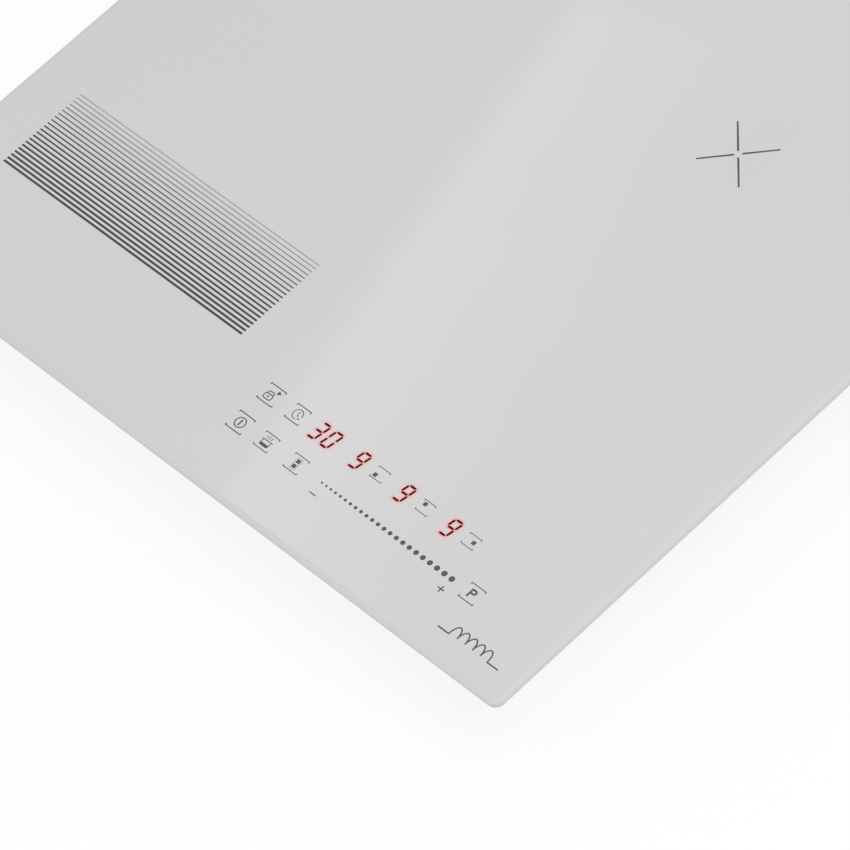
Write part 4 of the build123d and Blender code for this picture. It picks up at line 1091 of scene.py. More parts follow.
@dataclass
class CrossScrews:
    """Pan-head screws with a cross recess, in the place of a node's plain ones."""

    node: str
    head: float
    head_height: float
    shank: float
    length: float
    spots: list[tuple[Vector, Facing]] = field(default_factory=list)
    sides: int = 36
    crown: float = 0.55
    crown_steps: int = 5
    reach: float = 0.58
    slot: float = 0.24
    depth: float = 0.6
    taper: float = 0.6
    slot_turns: Point = (0.0, 90.0)
    smooth_angle: float = 35.0

    def cutter(self, turn: float) -> Shape:
        """Wedge that cuts one slot of the cross.

        Args:
            turn: Turn about the axis, in degrees.

        Returns:
            The wedge.
        """
        Bench.clear()
        bpy.ops.mesh.primitive_cube_add(
            size=1.0, location=(0.0, 0.0, self.head_height), rotation=(0.0, 0.0, math.radians(turn)))
        wedge = bpy.context.active_object
        wedge.scale = (2 * self.reach * self.head, self.slot * self.head, 2 * self.depth * self.head_height)
        bpy.ops.object.transform_apply(location=True, rotation=True, scale=True)
        floor = self.head_height * (1 - self.depth)
        with Bench.editing(wedge):
            Bench.pick(wedge, Pick.FACE, lambda middle: middle.z < floor + NEAR)
            bpy.ops.transform.resize(value=(self.taper, self.taper, 1.0))
        return wedge

    def pattern(self) -> Shape:
        """One screw, upright at the origin with its head above z = 0.

        Returns:
            The screw.
        """
        Bench.clear()
        bpy.ops.mesh.primitive_cylinder_add(
            vertices=self.sides, radius=self.head, depth=self.head_height,
            location=(0.0, 0.0, self.head_height / 2))
        bpy.ops.object.transform_apply(location=True, rotation=True, scale=True)
        screw = bpy.context.active_object
        with Bench.editing(screw):
            Bench.pick(screw, Pick.FACE, lambda middle: middle.z > self.head_height - NEAR)
            bpy.ops.mesh.bevel(
                offset=self.crown * self.head_height, segments=self.crown_steps, affect="EDGES")
            Bench.pick(screw, Pick.FACE, lambda middle: middle.z < NEAR)
            bpy.ops.mesh.inset(thickness=self.head - self.shank)
            bpy.ops.mesh.extrude_region_move(TRANSFORM_OT_translate={"value": (0.0, 0.0, -self.length)})
        for turn in self.slot_turns:
            Bench.carve(screw, self.cutter(turn))
        Bench.select(screw)
        bpy.ops.object.shade_smooth_by_angle(angle=math.radians(self.smooth_angle))
        return screw

    def build(self, paint: Paint) -> None:
        """Model one screw, copy it to every spot and stand it for the node.

        Args:
            paint: Materials of the cooktop.
        """
        moves = [Matrix.Translation(place) @ facing.turn() for place, facing in self.spots]
        piece = Bench.gather(Bench.copies(self.pattern(), moves), f"{self.node}_cross")
        piece.data.transform(Matrix.Scale(MM, 4))
        paint.dress(piece, "zinc_screws")
        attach(piece, BODY)
        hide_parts(self.node)
        LOG.info("set %d screws for %s", len(moves), self.node)


@dataclass
class TrayScrews:
    """Screws that show on the tray: round its rim and under its clamps."""

    rim_head: float = 3.0
    rim_head_height: float = 1.6
    rim_shank: float = 1.5
    rim_length: float = 5.0
    rim_from_side: float = 68.0
    rim_from_end: float = 53.0
    clamp_head: float = 4.0
    clamp_head_height: float = 2.4
    clamp_shank: float = 2.0

    def rim(self) -> CrossScrews:
        """Screws through the tray's upper wall.

        Returns:
            The ten rim screws.
        """
        low, high = (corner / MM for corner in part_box("rim_screws"))
        level = (low.z + high.z) / 2
        side, end = high.x - self.rim_head_height, high.y - self.rim_head_height
        screws = CrossScrews(
            "rim_screws", self.rim_head, self.rim_head_height, self.rim_shank, self.rim_length)
        for y in (self.rim_from_end - end, 0.0, end - self.rim_from_end):
            screws.spots += [
                (Vector((side, y, level)), Facing.RIGHT), (Vector((-side, y, level)), Facing.LEFT)]
        for x in (self.rim_from_side - side, side - self.rim_from_side):
            screws.spots += [
                (Vector((x, end, level)), Facing.REAR), (Vector((x, -end, level)), Facing.FRONT)]
        return screws

    def clamps(self) -> CrossScrews:
        """Screws that the clamps swing on.

        Returns:
            The four clamp screws.
        """
        low, high = (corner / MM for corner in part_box("clamp_screws"))
        level = low.z + self.clamp_head_height
        x, y = high.x - self.clamp_head, high.y - self.clamp_head
        screws = CrossScrews(
            "clamp_screws", self.clamp_head, self.clamp_head_height, self.clamp_shank, high.z - level)
        screws.spots = [
            (Vector((side * x, end * y, level)), Facing.DOWN) for side in (-1, 1) for end in (-1, 1)]
        return screws

    def build(self, paint: Paint) -> None:
        """Set both kinds of screws.

        Args:
            paint: Materials of the cooktop.
        """
        self.rim().build(paint)
        self.clamps().build(paint)


@dataclass
class GlassFace:
    """Upper face of the glass, which carries the prints."""

    paint: Paint
    lift: float = 0.004
    level: float = field(init=False)
    count: int = field(default=0, init=False)

    def __post_init__(self) -> None:
        """Read the level of the glass from its node."""
        self.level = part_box("glass_top")[1].z

    def lay(self, piece: Shape, slot: str, above: float = 0.0) -> None:
        """Bring a piece to metres on the glass, dress it and let it ride.

        Args:
            piece: Piece in millimetres on the plane z = 0.
            slot: Material slot.
            above: Height above the glass in millimetres.
        """
        height = self.level + (self.lift + above) * MM
        piece.data.transform(Matrix.Translation((0.0, 0.0, height)) @ Matrix.Scale(MM, 4))
        self.paint.dress(piece, slot)
        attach(piece, BODY)
        self.count += 1
        LOG.info("laid %s with %d faces", piece.name, len(piece.data.polygons))


@dataclass
class GlassPrint:
    """One print on the glass, drawn as flat shapes in millimetres."""

    name: str
    weld: ClassVar[bool] = False

    def shapes(self) -> list[Shape]:
        """Flat shapes of the print, which each kind draws in its own way."""
        raise NotImplementedError

    def build(self, face: GlassFace) -> None:
        """Press the shapes to one piece and lay it on the glass.

        Args:
            face: Face of the glass.
        """
        face.lay(Bench.press(self.shapes(), self.name, PRINT_RISE, self.weld), "print_ink")


@dataclass
class KeyPrint(GlassPrint):
    """Touch key: a bracket of two lines with turned ends, and a symbol in it."""

    centre: Point
    width: float
    height: float
    line: float = 0.5
    tick: float = 1.2

    def at(self, offset: Point) -> Point:
        """Point at an offset from the middle of the key."""
        return (self.centre[0] + offset[0], self.centre[1] + offset[1])

    def bracket(self) -> Shape:
        """Draw the bracket.

        Returns:
            The two lines with their turned ends.
        """
        reach = self.height / 2 - self.tick
        outline = Bench.hollow(Bench.plate(self.width, self.height, self.centre), self.line)
        for side in (1, -1):
            Bench.cut(outline, self.at((0.0, side * reach)), Cut.LEVEL)
        return Bench.drop(outline, lambda middle: abs(middle.y - self.centre[1]) < reach - NEAR)

    def symbol(self) -> list[Shape]:
        """Flat shapes of the symbol, which each kind of key draws in its own way."""
        raise NotImplementedError

    def shapes(self) -> list[Shape]:
        """Bracket and symbol."""
        return [self.bracket(), *self.symbol()]


@dataclass
class PowerKey(KeyPrint):
    """Ring with a bar."""

    ring: float = 3.2
    ring_line: float = 0.58
    ring_sides: int = 56
    bar: Point = (0.8, 3.8)

    def symbol(self) -> list[Shape]:
        """Ring and bar."""
        ring = Bench.hollow(Bench.disc(self.ring, self.centre, self.ring_sides), self.ring_line)
        return [ring, Bench.plate(*self.bar, self.centre)]


@dataclass
class WarmKey(KeyPrint):
    """Pot with its lower half full, and three wisps of steam."""

    rim: float = 6.7
    pot: float = 5.6
    pot_depth: float = 3.9
    rim_above: float = 0.7
    fill: float = 1.7
    corner: float = 1.0
    corner_steps: int = 4
    fill_steps: int = 3
    wisps: tuple[float, ...] = (-1.45, 0.0, 1.45)
    wisp_height: float = 1.9
    wisp_gap: float = 0.6
    wisp_lean: float = 0.22
    wisp_line: float = 0.4

    def symbol(self) -> list[Shape]:
        """Draw the pot, its filling and the steam.

        Returns:
            The flat shapes.
        """
        x, y = self.centre
        top = y + self.rim_above
        lug = (self.rim - self.pot) / 2
        shapes = [
            Bench.plate(lug, self.line, (x + side * (self.pot + lug) / 2, top)) for side in (-1, 1)]
        middle = top + self.line / 2 - self.pot_depth / 2
        floor = middle - self.pot_depth / 2
        pot = Bench.plate(self.pot, self.pot_depth, (x, middle))
        Bench.round_corners(pot, self.corner, self.corner_steps, lambda place: place.y < middle)
        shapes.append(Bench.hollow(pot, self.line))
        inside = self.pot - 2 * self.line
        full = Bench.plate(inside, self.fill - self.line, (x, floor + (self.fill + self.line) / 2))
        shapes.append(Bench.round_corners(
            full, self.corner - self.line, self.fill_steps, lambda place: place.y < floor + self.fill / 2))
        low = top + self.line / 2 + self.wisp_gap
        for offset in self.wisps:
            bend = (x + offset - self.wisp_lean, low + self.wisp_height / 2)
            shapes.append(Bench.stroke((x + offset, low), bend, self.wisp_line))
            shapes.append(Bench.stroke(bend, (x + offset, low + self.wisp_height), self.wisp_line))
        return shapes


@dataclass
class PlanKey(KeyPrint):
    """Key with small squares that stand for cooking zones."""

    square: float = 2.2
    corner: float = 0.15
    corner_steps: int = 2

    def zone_square(self, centre: Point) -> Shape:
        """Filled square with rounded corners.

        Args:
            centre: Its middle.

        Returns:
            The flat shape.
        """
        square = Bench.plate(self.square, self.square, centre)
        return Bench.round_corners(square, self.corner, self.corner_steps)


@dataclass
class BridgeKey(PlanKey):
    """Two squares in a thin frame, one behind the other, for the joined left zones."""

    pitch: float = 3.0
    border: Point = (3.4, 6.55)
    border_line: float = 0.14

    def symbol(self) -> list[Shape]:
        """Draw the frame and the two squares.

        Returns:
            The flat shapes.
        """
        places = [self.at((0.0, side * self.pitch / 2)) for side in (1, -1)]
        moves = [Matrix.Translation((*place, 0.0)) for place in places]
        border = Bench.hollow(Bench.plate(*self.border, self.centre), self.border_line)
        return [border, *Bench.copies(self.zone_square(ORIGIN), moves)]


@dataclass
class LockKey(KeyPrint):
    """Padlock with a small pointer beside it."""

    body: Point = (5.4, 3.7)
    body_offset: Point = (-0.8, -1.65)
    body_corner: float = 1.35
    shackle: Point = (4.15, 3.0)
    shackle_corner: float = 1.2
    corner_steps: int = 5
    keyhole: float = 0.45
    keyhole_up: float = 0.3
    keyhole_sides: int = 16
    keyway: Point = (0.4, 0.9)
    keyway_down: float = 0.35
    pointer: Point = (2.45, 2.75)
    pointer_size: float = 1.55
    pointer_sides: int = 3
    pointer_turn: float = -90.0

    def symbol(self) -> list[Shape]:
        """Draw the padlock and the pointer.

        Returns:
            The flat shapes.
        """
        x, y = self.at(self.body_offset)
        case = Bench.plate(*self.body, (x, y))
        Bench.hollow(Bench.round_corners(case, self.body_corner, self.corner_steps), self.line)
        top = y + self.body[1] / 2
        foot = top - self.line / 2
        arch = Bench.plate(*self.shackle, (x, top))
        Bench.hollow(Bench.round_corners(arch, self.shackle_corner, self.corner_steps), self.line)
        Bench.drop(Bench.cut(arch, (x, foot), Cut.LEVEL), lambda place: place.y < foot)
        hole = Bench.disc(self.keyhole, (x, y + self.keyhole_up), self.keyhole_sides)
        way = Bench.plate(*self.keyway, (x, y - self.keyway_down))
        pointer = Bench.disc(self.pointer_size, ORIGIN, self.pointer_sides)
        turn = Matrix.Rotation(math.radians(self.pointer_turn), 4, "Z")
        pointer.data.transform(Matrix.Translation((*self.at(self.pointer), 0.0)) @ turn)
        return [case, arch, hole, way, pointer]


@dataclass
class TimerKey(KeyPrint):
    """Clock face, open at the lower right, with two hands."""

    ring: float = 3.0
    ring_line: float = 0.46
    ring_sides: int = 72
    open_from: float = -75.0
    open_to: float = -12.0
    dot: Point = (2.05, -1.95)
    dot_size: float = 0.5
    dot_sides: int = 16
    hands: tuple[tuple[Point, Point], ...] = (((0.0, -0.2), (0.0, 1.7)), ((0.0, -0.1), (1.25, -1.25)))

    def in_gap(self, middle: Vector) -> bool:
        """Whether a face of the ring lies in its gap.

        Args:
            middle: Middle of the face.

        Returns:
            True in the gap.
        """
        x, y = self.centre
        angle = math.degrees(math.atan2(middle.y - y, middle.x - x))
        return self.open_from < angle < self.open_to

    def symbol(self) -> list[Shape]:
        """Draw the open ring, the dot and the hands.

        Returns:
            The flat shapes.
        """
        ring = Bench.hollow(Bench.disc(self.ring, self.centre, self.ring_sides), self.ring_line)
        shapes = [
            Bench.drop(ring, self.in_gap), Bench.disc(self.dot_size, self.at(self.dot), self.dot_sides)]
        for start, end in self.hands:
            shapes.append(Bench.stroke(self.at(start), self.at(end), self.ring_line))
        return shapes


@dataclass
class BoostKey(KeyPrint):
    """Letter for full power: a stem and a bowl."""

    stem: Point = (1.0, 5.1)
    bowl: float = 1.5
    bowl_line: float = 1.0
    bowl_sides: int = 40
    letter_width: float = 3.9

    def symbol(self) -> list[Shape]:
        """Draw the stem, the bowl and the two arms between them.

        Returns:
            The flat shapes.
        """
        x, y = self.centre
        left = x - self.letter_width / 2
        top = y + self.stem[1] / 2
        shapes = [Bench.plate(*self.stem, (left + self.stem[0] / 2, y))]
        bowl_x = left + self.letter_width - self.bowl
        bowl_y = top - self.bowl
        ring = Bench.hollow(Bench.disc(self.bowl, (bowl_x, bowl_y), self.bowl_sides), self.bowl_line)
        shapes.append(Bench.drop(ring, lambda middle: middle.x < bowl_x))
        arm = bowl_x - left - self.stem[0]
        arm_x = left + self.stem[0] + arm / 2
        for level in (top - self.bowl_line / 2, bowl_y - self.bowl + self.bowl_line / 2):
            shapes.append(Bench.plate(arm, self.bowl_line, (arm_x, level)))
        return shapes


@dataclass
class ZoneKey(PlanKey):
    """Plan of the cooktop with a square where the zone lies."""

    zone: Point = ORIGIN
    line: float = 0.39
    tick: float = 1.0

    def symbol(self) -> list[Shape]:
        """Square of the zone."""
        return [self.zone_square(self.zone)]


class Segment(Enum):
    """Bars of a seven-bar digit: place in half widths and quarter heights, and whether it stands."""

    TOP = (0, 2, False)
    TOP_LEFT = (-1, 1, True)
    TOP_RIGHT = (1, 1, True)
    MIDDLE = (0, 0, False)
    BOTTOM_LEFT = (-1, -1, True)
    BOTTOM_RIGHT = (1, -1, True)
    BOTTOM = (0, -2, False)


DIGITS: dict[str, tuple[Segment, ...]] = {
    "0": tuple(bar for bar in Segment if bar is not Segment.MIDDLE),
    "3": tuple(bar for bar in Segment if bar not in (Segment.TOP_LEFT, Segment.BOTTOM_LEFT)),
    "9": tuple(bar for bar in Segment if bar is not Segment.BOTTOM_LEFT),
}


@dataclass
class Display:
    """Lit digits that shine through the glass."""

    name: str
    digits: tuple[tuple[str, Point], ...]
    width: float = 4.65
    height: float = 9.85
    bar: float = 1.2
    gap: float = 0.3
    point: float = 0.55
    point_width: float = 0.1
    slant: float = 10.0
    reach: float = 1.3
    fall: float = 1.6
    margin: float = 0.02
    cuts: int = 38
    rise: float = 0.02

    def lean(self, spot: Point) -> Matrix:
        """Move of an upright digit at the origin to its spot and slant.

        Args:
            spot: Middle of the digit.

        Returns:
            The move.
        """
        slope = math.tan(math.radians(self.slant))
        return Matrix(((1, slope, 0, spot[0]), (0, 1, 0, spot[1]), (0, 0, 1, 0), (0, 0, 0, 1)))

    def bar_place(self, segment: Segment) -> Vector:
        """Middle of a bar of an upright digit at the origin."""
        column, row, _ = segment.value
        return Vector((column * self.width / 2, row * self.height / 4, 0.0))

    def bar_length(self, segment: Segment) -> float:
        """Distance between the corners that a bar joins, less the gaps."""
        return (self.height / 2 if segment.value[2] else self.width) - 2 * self.gap

    def pointed_bar(self, segment: Segment) -> Shape:
        """Model one bar with pointed ends.

        Args:
            segment: Which bar of the digit.

        Returns:
            The flat bar in its place in an upright digit.
        """
        tip = self.point * self.bar
        body = self.bar_length(segment) - 2 * tip
        bar = Bench.plate(body, self.bar, ORIGIN)
        with Bench.editing(bar):
            for side in (-1, 1):
                Bench.pick(bar, Pick.EDGE, lambda middle: side * middle.x > body / 2 - NEAR)
                bpy.ops.mesh.extrude_region_move(
                    TRANSFORM_OT_translate={"value": (side * tip, 0.0, 0.0)})
                bpy.ops.transform.resize(value=(1.0, self.point_width, 1.0))
        turn = Matrix.Rotation(math.radians(90.0 if segment.value[2] else 0.0), 4, "Z")
        bar.data.transform(Matrix.Translation(self.bar_place(segment)) @ turn)
        return bar

    def bars(self) -> Shape:
        """All lit bars of the display.

        Returns:
            The piece in millimetres.
        """
        patterns = {segment: self.pointed_bar(segment) for segment in Segment}
        bars = []
        for digit, spot in self.digits:
            for segment in DIGITS[digit]:
                bars.append(Bench.copy(patterns[segment]))
                bars[-1].data.transform(self.lean(spot))
        for pattern in patterns.values():
            Bench.remove(pattern)
        return Bench.press(bars, f"{self.name}_bars", self.rise)

    def light_at(self, digit: str, place: Vector) -> float:
        """Share of red light that reaches a place in an upright digit.

        Args:
            digit: The digit that is lit.
            place: Place in the digit's own frame.

        Returns:
            1 at a bar, falling to 0 at the reach.
        """
        nearest = self.reach
        for segment in DIGITS[digit]:
            away = place - self.bar_place(segment)
            along, across = (away.y, away.x) if segment.value[2] else (away.x, away.y)
            past = max(abs(along) - self.bar_length(segment) / 2, 0.0)
            beside = max(abs(across) - self.bar / 2, 0.0)
            nearest = min(nearest, math.hypot(past, beside))
        return (1.0 - nearest / self.reach) ** self.fall

    def halo(self) -> Shape:
        """Thin skin of glass over each digit, marked with the light that reaches it.

        Returns:
            The piece in millimetres.
        """
        beyond = 2 * (self.reach + self.bar / 2 + self.margin)
        skins = []
        for digit, spot in self.digits:
            skin = Bench.plate(self.width + beyond, self.height + beyond, ORIGIN)
            with Bench.editing(skin):
                bpy.ops.mesh.subdivide(number_cuts=self.cuts)
            spread = skin.data.attributes.new(SPREAD, "FLOAT", "POINT")
            for vertex, mark in zip(skin.data.vertices, spread.data):
                mark.value = self.light_at(digit, vertex.co)
            skin.data.transform(self.lean(spot))
            skins.append(skin)
        return Bench.press(skins, f"{self.name}_glow", self.rise)

    def build(self, face: GlassFace) -> None:
        """Lay the glow on the glass, and the bars over the glow.

        Args:
            face: Face of the glass.
        """
        face.lay(self.halo(), "digit_glow")
        face.lay(self.bars(), "digit_light", self.rise + face.lift)


@dataclass
class Slider(GlassPrint):
    """Row of dots that grow to the right, with a minus and a plus in front."""

    name: str = "slider_print"
    first: Point = (71.3, -223.1)
    dots: int = 23
    dot_sides: int = 32
    first_gap: float = 3.0
    gap_growth: float = 0.0937
    first_size: float = 1.2
    last_size: float = 3.16
    minus: tuple[Point, Point] = ((70.2, -230.3), (74.6, -230.3))
    minus_line: float = 0.58
    plus: Point = (158.9, -230.1)
    plus_size: float = 4.0
    plus_line: float = 0.696

    def shapes(self) -> list[Shape]:
        """Draw the dots and the two signs.

        Returns:
            The flat shapes.
        """
        moves = []
        x, y = self.first
        for number in range(self.dots):
            size = self.first_size + (self.last_size - self.first_size) * number / (self.dots - 1)
            grow = Matrix.Diagonal((size / 2, size / 2, 1, 1))
            moves.append(Matrix.Translation((x, y, 0.0)) @ grow)
            x += self.first_gap + number * self.gap_growth
        shapes = Bench.copies(Bench.disc(1.0, ORIGIN, self.dot_sides), moves)
        shapes.append(Bench.stroke(*self.minus, self.minus_line))
        shapes.append(Bench.plate(self.plus_size, self.plus_line, self.plus))
        x, y = self.plus
        for side in (-1, 1):
            inner, outer = (y + side * width / 2 for width in (self.plus_line, self.plus_size))
            shapes.append(Bench.stroke((x, inner), (x, outer), self.plus_line))
        return shapes


@dataclass
class StripeBand(GlassPrint):
    """Band of lines across the left zone, thickest at its outer end."""

    left: float = -195.0
    right: float = -22.6
    outer: float = -186.8
    inward: float = 1.0
    lines: int = 22
    pitch: float = 2.444
    thick: float = 1.25
    thin: float = 0.27
    curve: float = 1.2

    def shapes(self) -> list[Shape]:
        """Draw the lines.

        Returns:
            The flat shapes.
        """
        shapes = []
        for number in range(self.lines):
            share = (number / (self.lines - 1)) ** self.curve
            width = self.thick + (self.thin - self.thick) * share
            y = self.outer + self.inward * number * self.pitch
            shapes.append(Bench.stroke((self.left, y), (self.right, y), width))
        return shapes


@dataclass
class ZoneCross(GlassPrint):
    """Cross at the middle of the right zone: four arms that taper outwards."""

    name: str = "right_zone_cross"
    arm: float = 20.2
    inner: float = 2.0
    thick: float = 1.05
    tip: float = 0.85
    turns: tuple[float, ...] = (45.0, 135.0, 225.0, 315.0)

    def shapes(self) -> list[Shape]:
        """Draw the arms over the middle of the right coil.

        Returns:
            The flat shapes.
        """
        low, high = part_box("right_coil_former")
        middle = (low + high) / 2 / MM
        arm = Bench.plate(self.arm - self.inner, self.thick, ((self.arm + self.inner) / 2, 0.0))
        with Bench.editing(arm):
            Bench.pick(arm, Pick.EDGE, lambda place: place.x > self.arm - NEAR)
            bpy.ops.transform.resize(value=(1.0, self.tip / self.thick, 1.0))
        spot = Matrix.Translation((middle.x, middle.y, 0.0))
        return Bench.copies(
            arm, [spot @ Matrix.Rotation(math.radians(turn), 4, "Z") for turn in self.turns])


@dataclass
class CoilSign(GlassPrint):
    """Plain sign for induction at the front right corner: a row of coil loops with two leads."""

    weld: ClassVar[bool] = True
    name: str = "coil_sign"
    centre: Point = (192.2, -242.0)
    loops: int = 5
    loop_sides: int = 48
    radius: float = 2.9
    tall: float = 2.0
    lead: float = 7.5
    line: float = 0.75

    def shapes(self) -> list[Shape]:
        """Draw the loops and the leads.

        Returns:
            The flat shapes.
        """
        x, y = self.centre
        pitch = 2 * self.radius - self.line
        span = self.loops * pitch
        low = y - self.tall * self.radius / 2
        outline = Bench.disc(self.radius, ORIGIN, self.loop_sides)
        outline.data.transform(Matrix.Diagonal((1.0, self.tall, 1.0, 1.0)))
        loop = Bench.drop(Bench.hollow(outline, self.line), lambda middle: middle.y < 0)
        shapes = []
        for number in range(self.loops):
            arch = Bench.copy(loop)
            for side in (-1, 1):
                if 0 <= number + side < self.loops:
                    Bench.cut(arch, (side * pitch / 2, 0.0), Cut.UPRIGHT)
                    Bench.drop(arch, lambda middle: side * middle.x > pitch / 2)
            arch.data.transform(Matrix.Translation((x - span / 2 + (number + 0.5) * pitch, low, 0.0)))
            shapes.append(arch)
        Bench.remove(loop)
        level = low - self.line / 2
        for side in (-1, 1):
            start = x + side * (span / 2 - self.line / 2)
            shapes.append(Bench.stroke((start, level), (start + side * self.lead, level), self.line))
        return shapes


@dataclass
class TouchPanel:
    """All that is printed or lit on the glass over the touch control."""

    keys: list[KeyPrint] = field(default_factory=lambda: [
        PowerKey("power_key", (15.0, -223.2), 10.8, 10.75, 0.56),
        WarmKey("warm_key", (33.25, -223.15), 9.5, 9.6, 0.45),
        BridgeKey("bridge_key", (53.7, -223.15), 9.6, 9.55, 0.45),
        LockKey("lock_key", (15.1, -202.8), 10.65, 10.75, 0.54),
        TimerKey("timer_key", (33.45, -202.85), 9.65, 9.7),
        BoostKey("boost_key", (172.4, -223.0), 9.7, 9.75),
        ZoneKey("front_zone_key", (89.7, -202.75), 7.9, 7.15, zone=(87.9, -204.2)),
        ZoneKey("rear_zone_key", (120.35, -202.6), 7.7, 7.15, zone=(118.8, -201.2)),
        ZoneKey("right_zone_key", (150.95, -202.6), 7.9, 7.1, zone=(152.5, -202.6)),
    ])
    displays: list[Display] = field(default_factory=lambda: [
        Display("timer_display", (("3", (48.4, -203.2)), ("0", (57.0, -203.2)))),
        Display("front_zone_display", (("9", (76.2, -203.1)),)),
        Display("rear_zone_display", (("9", (106.6, -203.1)),)),
        Display("right_zone_display", (("9", (137.9, -203.2)),)),
    ])

    def build(self, face: GlassFace) -> None:
        """Lay every key, the slider and the digits.

        Args:
            face: Face of the glass.
        """
        for piece in (*self.keys, Slider(), *self.displays):
            piece.build(face)


@dataclass
class ZonePrints:
    """What is printed beyond the touch control: over the cooking zones and at the front corner."""

    middle: float = 5.0

    def build(self, face: GlassFace) -> None:
        """Lay the stripes of the left zone, the cross of the right one and the coil sign.

        Args:
            face: Face of the glass.
        """
        front = StripeBand("front_stripes")
        rear = StripeBand("rear_stripes", outer=2 * self.middle - front.outer, inward=-1.0)
        for piece in (front, rear, ZoneCross(), CoilSign()):
            piece.build(face)


class Ray(Enum):
    """Rays that see the stage as plain white."""

    CAMERA = "Is Camera Ray"
    GLOSSY = "Is Glossy Ray"
    TRANSMISSION = "Is Transmission Ray"


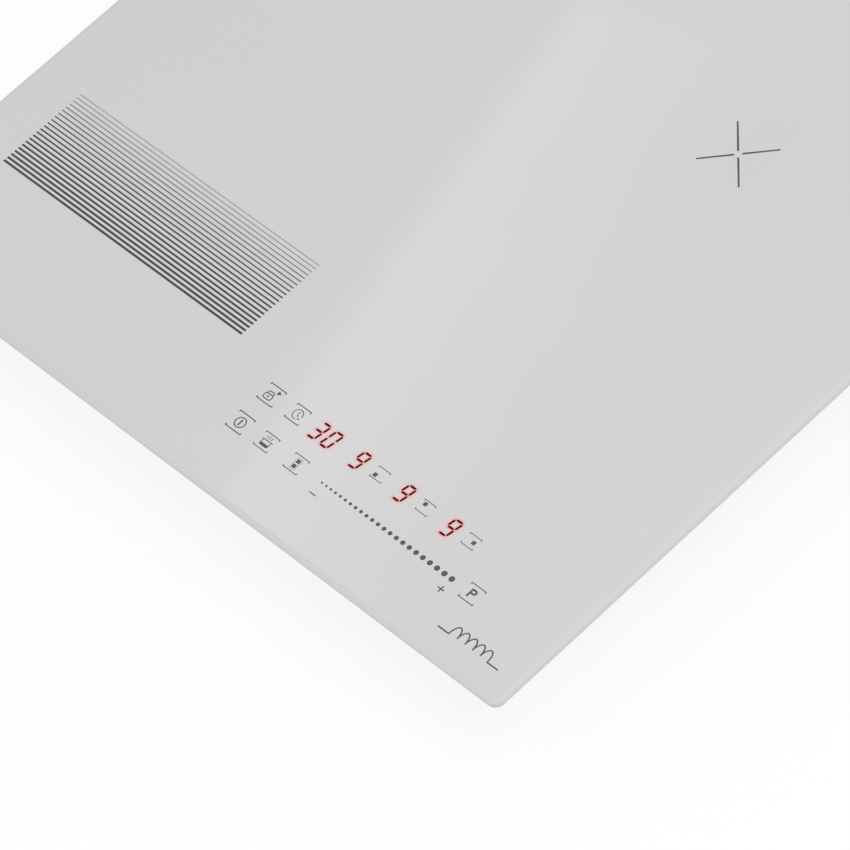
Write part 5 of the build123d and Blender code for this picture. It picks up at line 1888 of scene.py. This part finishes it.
@dataclass
class Studio:
    """White light table, white surround, a soft key from the right and a strip card."""

    surround: float = 0.73
    table_light: float = 0.5
    table_white: float = 0.86
    table_grey: float = 0.95
    table_size: float = 30.0
    table_gap: float = 0.0006
    key_power: float = 41.0
    key_place: Place = (1.6, -0.3, 3.0)
    key_size: float = 1.6
    card_height: float = 1.9
    card_edge: tuple[Point, Point] = ((-1.385, 0.97), (-1.203, 0.25))
    card_width: float = 0.21
    card_light: float = 1.1

    @staticmethod
    def seen(sheet: NodeSheet) -> Socket:
        """1 for rays that see the stage as white, 0 for the rest.

        Args:
            sheet: Nodes of a stage material or the world.

        Returns:
            The switch.
        """
        path = sheet.add("LightPath")
        total = path.outputs[Ray.CAMERA.value]
        for ray in (Ray.GLOSSY, Ray.TRANSMISSION):
            total = sheet.combine(Combine.MAXIMUM, total, path.outputs[ray.value])
        return total

    @staticmethod
    def board(name: str, width: float, length: float) -> tuple[Shape, NodeSheet]:
        """Flat board of the stage.

        Args:
            name: Name of the board and its material.
            width: Size along X.
            length: Size along Y.

        Returns:
            The board at the origin, and the empty nodes of its material.
        """
        board = Bench.plate(width, length, ORIGIN)
        board.name = name
        material = bpy.data.materials.new(name)
        board.data.materials.append(material)
        return board, NodeSheet(material)

    def world(self) -> None:
        """White surround: full to the eye, softer as light."""
        world = bpy.data.worlds.new("surround")
        bpy.context.scene.world = world
        sheet = NodeSheet(world)
        sheet.end(sheet.mix(self.seen(sheet), sheet.glow(self.surround), sheet.glow(1.0)))

    def table(self) -> None:
        """Light table that the cooktop stands on, see-through from below."""
        table, sheet = self.board("light_table", self.table_size, self.table_size)
        table.location.z = -self.table_gap
        grey = (self.table_grey, self.table_grey, self.table_grey)
        matte = sheet.add("BsdfDiffuse", {"Color": grey}).outputs["BSDF"]
        shown = sheet.mix(self.table_white, matte, sheet.glow(1.0))
        top = sheet.mix(self.seen(sheet), sheet.glow(self.table_light), shown)
        below = sheet.add("NewGeometry").outputs["Backfacing"]
        sheet.end(sheet.mix(below, top, sheet.add("BsdfTransparent").outputs["BSDF"]))
        table.active_material.cycles.emission_sampling = "NONE"

    def key(self) -> None:
        """Soft key light from the right."""
        light = bpy.data.lights.new("key", "AREA")
        light.energy = self.key_power
        light.size = self.key_size
        lamp = bpy.data.objects.new("key", light)
        bpy.context.collection.objects.link(lamp)
        lamp.location = self.key_place
        lamp.rotation_euler = (-Vector(self.key_place)).to_track_quat("-Z", "Y").to_euler()
        lamp.visible_camera = False

    def card(self) -> None:
        """Strip card that the glass mirrors: brightest along one edge, fading across."""
        start, end = (Vector(point) for point in self.card_edge)
        along = (end - start).normalized()
        across = Vector((-along.y, along.x))
        half = self.card_width / 2
        card, sheet = self.board("strip_card", self.card_width, (end - start).length)
        card.location = (*((start + end) / 2 + across * half), self.card_height)
        card.rotation_euler = (0.0, 0.0, math.atan2(across.y, across.x))
        fade = sheet.band(Along("X").value(sheet), (-half, half), (1.0 + self.card_light, 1.0))
        sheet.end(sheet.glow(fade))
        card.visible_camera = False
        card.visible_shadow = False

    def build(self) -> None:
        """Set the surround, the table and the lights."""
        self.world()
        self.table()
        self.key()
        self.card()


@dataclass
class StudioCamera:
    """Long lens above the front right corner, turned a little about its axis."""

    place: Place = (1.786703, -1.170321, 2.562634)
    azimuth: float = 59.524
    elevation: float = 51.770
    roll: float = -17.170
    focal_pixels: float = 6864.921
    frame_pixels: float = 850.0
    sensor: float = 36.0
    shift: Point = (-0.00059, 0.00052)
    clip: Point = (0.1, 60.0)

    def build(self) -> None:
        """Make the camera and use it for the scene."""
        around, above, roll = (math.radians(angle) for angle in (self.azimuth, self.elevation, self.roll))
        right = Vector((math.cos(around), math.sin(around), 0.0))
        level = Vector((-math.sin(around), math.cos(around), 0.0))
        ahead = level * math.cos(above) - Vector((0.0, 0.0, math.sin(above)))
        up = right.cross(ahead)
        across = right * math.cos(roll) + up * math.sin(roll)
        upward = up * math.cos(roll) - right * math.sin(roll)
        data = bpy.data.cameras.new("studio_camera")
        data.sensor_width = self.sensor
        data.lens = self.focal_pixels / self.frame_pixels * self.sensor
        data.shift_x, data.shift_y = self.shift
        data.clip_start, data.clip_end = self.clip
        camera = bpy.data.objects.new("studio_camera", data)
        bpy.context.collection.objects.link(camera)
        axes = Matrix((across, upward, -ahead)).transposed().to_4x4()
        camera.matrix_world = Matrix.Translation(self.place) @ axes
        bpy.context.scene.camera = camera


def main() -> None:
    """Dress the frame, lay the prints and set the studio."""
    logging.basicConfig(level=logging.INFO, format="%(name)s: %(message)s")
    bpy.context.scene.view_settings.view_transform = "Standard"
    paint = Paint()
    LOG.info("dressed %d CAD nodes", paint.dress_frame())
    TrayScrews().build(paint)
    face = GlassFace(paint)
    ZonePrints().build(face)
    TouchPanel().build(face)
    LOG.info("laid %d pieces on the glass", face.count)
    Studio().build()
    StudioCamera().build()
    Bench.clear()


if __name__ == "__main__":
    main()
